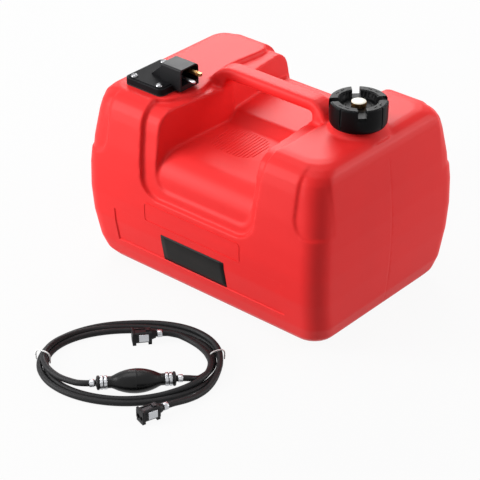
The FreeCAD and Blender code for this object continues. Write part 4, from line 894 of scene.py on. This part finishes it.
plug_plastic = grained("plug_plastic", (0.0105, 0.0105, 0.0115), roughness=0.46, grain=1500,
                       depth=0.00008, mottle=50, specular=0.16)
dark_steel = metal("dark_steel", (0.045, 0.045, 0.048), 0.42)
clips = []
for side in (-1, 1):
    clips += crimped_ring(bulb_place, side * BULB_CLIP_PLACE, *CLIP, 250)
for name, ((u, v), turn) in PLUGS.items():
    place = kit @ Matrix.Translation((u, v, PLUG_AXIS)) @ Matrix.Rotation(math.radians(turn), 4, "Z")
    hose_end = place @ Matrix.Rotation(math.radians(90), 4, "Y")
    eased(f"{name}_connector", f"{name}_plug", 0.0006, plug_plastic)
    rim = bmesh.new()
    rim.from_mesh(combined(from_bmesh("rim", rounded_block(*RIM, 0.0009, 3)),
                           ("DIFFERENCE", block(*MOUTH))))
    ribs = []
    for start in RIB_PLACES:
        low, high = [(start + x, y, z) for x, y, z in RIB]
        ribs.append(moved(rounded_block(low, high, 0.0003, 2), place))
    place_mesh(f"{name}_connector_rim", joined("rim", moved(rim, place), *ribs), plug_plastic)
    plate = from_bmesh("plate", moved(rounded_block(*SPRING_PLATE, 0.0004, 3), place))
    place_mesh(f"{name}_spring_plate", plate, steel)
    for part, material in (("latch", dark_steel), ("seal", black_rubber), ("poppet", brass)):
        dress(f"{name}_plug_{part}", material)

    # the spring fills the room that its solid takes
    room = [place.inverted() @ vert.co for vert in nodes[f"{name}_plug_spring"].data.vertices]
    near, far = min(point.x for point in room), max(point.x for point in room)
    wound_r = max(math.hypot(point.y, point.z) for point in room) - SPRING_WIRE_R
    rise = (far - near - 2 * SPRING_WIRE_R) / (SPRING_TURNS * SPRING_STEPS)
    spring = bmesh.new()
    bmesh.ops.create_circle(spring, cap_ends=True, segments=10, radius=SPRING_WIRE_R)
    moved(spring, Matrix.Translation((wound_r, 0, SPRING_WIRE_R))
          @ Matrix.Rotation(math.radians(90), 4, "X"))
    bmesh.ops.spin(spring, geom=spring.faces[:] + spring.edges[:] + spring.verts[:], cent=(0, 0, 0),
                   axis=(0, 0, 1), angle=2 * math.pi * SPRING_TURNS,
                   steps=SPRING_TURNS * SPRING_STEPS, dvec=(0, 0, rise))
    bmesh.ops.recalc_face_normals(spring, faces=spring.faces)
    moved(spring, place @ Matrix.Translation((near, 0, 0)) @ Matrix.Rotation(math.radians(90), 4, "Y"))
    wound = place_mesh(f"{name}_poppet_spring", from_bmesh("spring", spring), steel)
    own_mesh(wound)
    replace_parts(wound, f"{name}_plug_spring")
    clips += crimped_ring(hose_end, PLUG_CLIP_PLACE, *CLIP, 215)
crimp_clips = place_mesh("crimp_clips", joined("crimp_clips", *clips), steel)
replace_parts(crimp_clips, "hose_clips")

# ---------------------------------------------------------------- wire ties
# Two wires with a white plastic coat.  Each is bent over the coil, to hold its turns together, and
# its ends stand on the floor.
TIE_V = 0.006
TIE_R = 0.0008
TIE_ROUTE = [(0.0893, 0.0010), (0.0889, 0.0070), (0.0896, 0.0122), (0.0926, 0.0146), (0.0975, 0.0150),
             (0.1030, 0.0146), (0.1057, 0.0112), (0.1060, 0.0060), (0.1056, 0.0010)]
TIE_MIDDLE = 0.0975
TIE_LEAN = 0.004            # along the coil, over this much of the route
TIE_SPAN = 0.008

tie_coat = grained("tie_coat", (0.80, 0.80, 0.79), roughness=0.4, grain=800, depth=0.00005, mottle=80,
                   specular=0.4, shift=0.03)
ties = bmesh.new()
for side in (-1, 1):
    route = [(side * u, TIE_V + TIE_LEAN * (u - TIE_MIDDLE) / TIE_SPAN, z) for u, z in TIE_ROUTE]
    holder = bpy.data.objects.new("tie", smooth_line("tie", route, TIE_R))
    scene.collection.objects.link(holder)
    depsgraph = bpy.context.evaluated_depsgraph_get()
    mesh = bpy.data.meshes.new_from_object(holder.evaluated_get(depsgraph))
    bpy.data.objects.remove(holder)
    ties.from_mesh(mesh)
coil_ties = place_mesh("coil_ties", from_bmesh("coil_ties", ties), tie_coat)
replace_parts(coil_ties, "wire_ties")

# ---------------------------------------------------------------- floor, world and lamps
# A white studio: the floor and the world show white behind the tank.  Five wide lamps light it, with
# a faint fill from the world.
FLOOR_HALF = 6
FLOOR_GLOW = 0.93
FLOOR_WHITE = 0.55
WORLD_FILL = 0.15
LAMPS = {                   # direction, distance, size and level
    "key": ((-0.62, -0.66, 0.50), 1.9, 0.9, 0.62),
    "front": ((-0.62, -0.76, 0.10), 1.9, 1.1, 0.66),
    "top": ((-0.20, -0.10, 1.00), 1.9, 1.3, 0.46),
    "end": ((0.66, 0.64, 0.30), 1.9, 1.0, 0.52),
    "back": ((-0.56, 0.65, 0.51), 2.0, 1.0, 0.56),
}


def seen_white(tree):
    """1 for rays that show the background: from the camera, or by way of gloss or glass."""
    path = tree.nodes.new("ShaderNodeLightPath")
    total = path.outputs["Is Camera Ray"]
    for ray in ("Is Glossy Ray", "Is Transmission Ray"):
        join = tree.nodes.new("ShaderNodeMath")
        join.operation = "MAXIMUM"
        tree.links.new(total, join.inputs[0])
        tree.links.new(path.outputs[ray], join.inputs[1])
        total = join.outputs[0]
    return total


world = bpy.data.worlds.new("studio")
scene.world = world
world.use_nodes = True
tree = world.node_tree
background = tree.nodes["Background"]
background.inputs["Color"].default_value = (1, 1, 1, 1)
fill = tree.nodes.new("ShaderNodeMapRange")
fill.inputs["To Min"].default_value = WORLD_FILL
fill.inputs["To Max"].default_value = 1
tree.links.new(seen_white(tree), fill.inputs["Value"])
tree.links.new(fill.outputs["Result"], background.inputs["Strength"])

floor_material = bpy.data.materials.new("floor_white")
floor_material.use_nodes = True
tree = floor_material.node_tree
shader = tree.nodes["Principled BSDF"]
shader.inputs["Base Color"].default_value = (FLOOR_WHITE, FLOOR_WHITE, FLOOR_WHITE, 1)
shader.inputs["Roughness"].default_value = 0.9
shader.inputs["Specular IOR Level"].default_value = 0
glow = tree.nodes.new("ShaderNodeEmission")
mix = tree.nodes.new("ShaderNodeMixShader")
share = tree.nodes.new("ShaderNodeMath")
share.operation = "MULTIPLY"
share.inputs[1].default_value = FLOOR_GLOW
tree.links.new(seen_white(tree), share.inputs[0])
tree.links.new(share.outputs[0], mix.inputs[0])
tree.links.new(shader.outputs[0], mix.inputs[1])
tree.links.new(glow.outputs[0], mix.inputs[2])
tree.links.new(mix.outputs[0], tree.nodes["Material Output"].inputs["Surface"])
ground = bmesh.new()
bmesh.ops.create_grid(ground, x_segments=1, y_segments=1, size=FLOOR_HALF)
floor = bpy.data.objects.new("floor", from_bmesh("floor", ground))
floor.data.materials.append(floor_material)
scene.collection.objects.link(floor)

aim = (cad_box[0] + cad_box[1]) / 2
for name, (direction, distance, size, level) in LAMPS.items():
    lamp_data = bpy.data.lights.new(name, "AREA")
    lamp_data.size = size
    lamp_data.energy = level * (math.pi * distance) ** 2
    lamp = bpy.data.objects.new(name, lamp_data)
    toward = Vector(direction).normalized()
    lamp.location = aim + toward * distance
    lamp.rotation_euler = toward.to_track_quat("Z", "Y").to_euler()
    scene.collection.objects.link(lamp)

scene.view_settings.view_transform = "Standard"
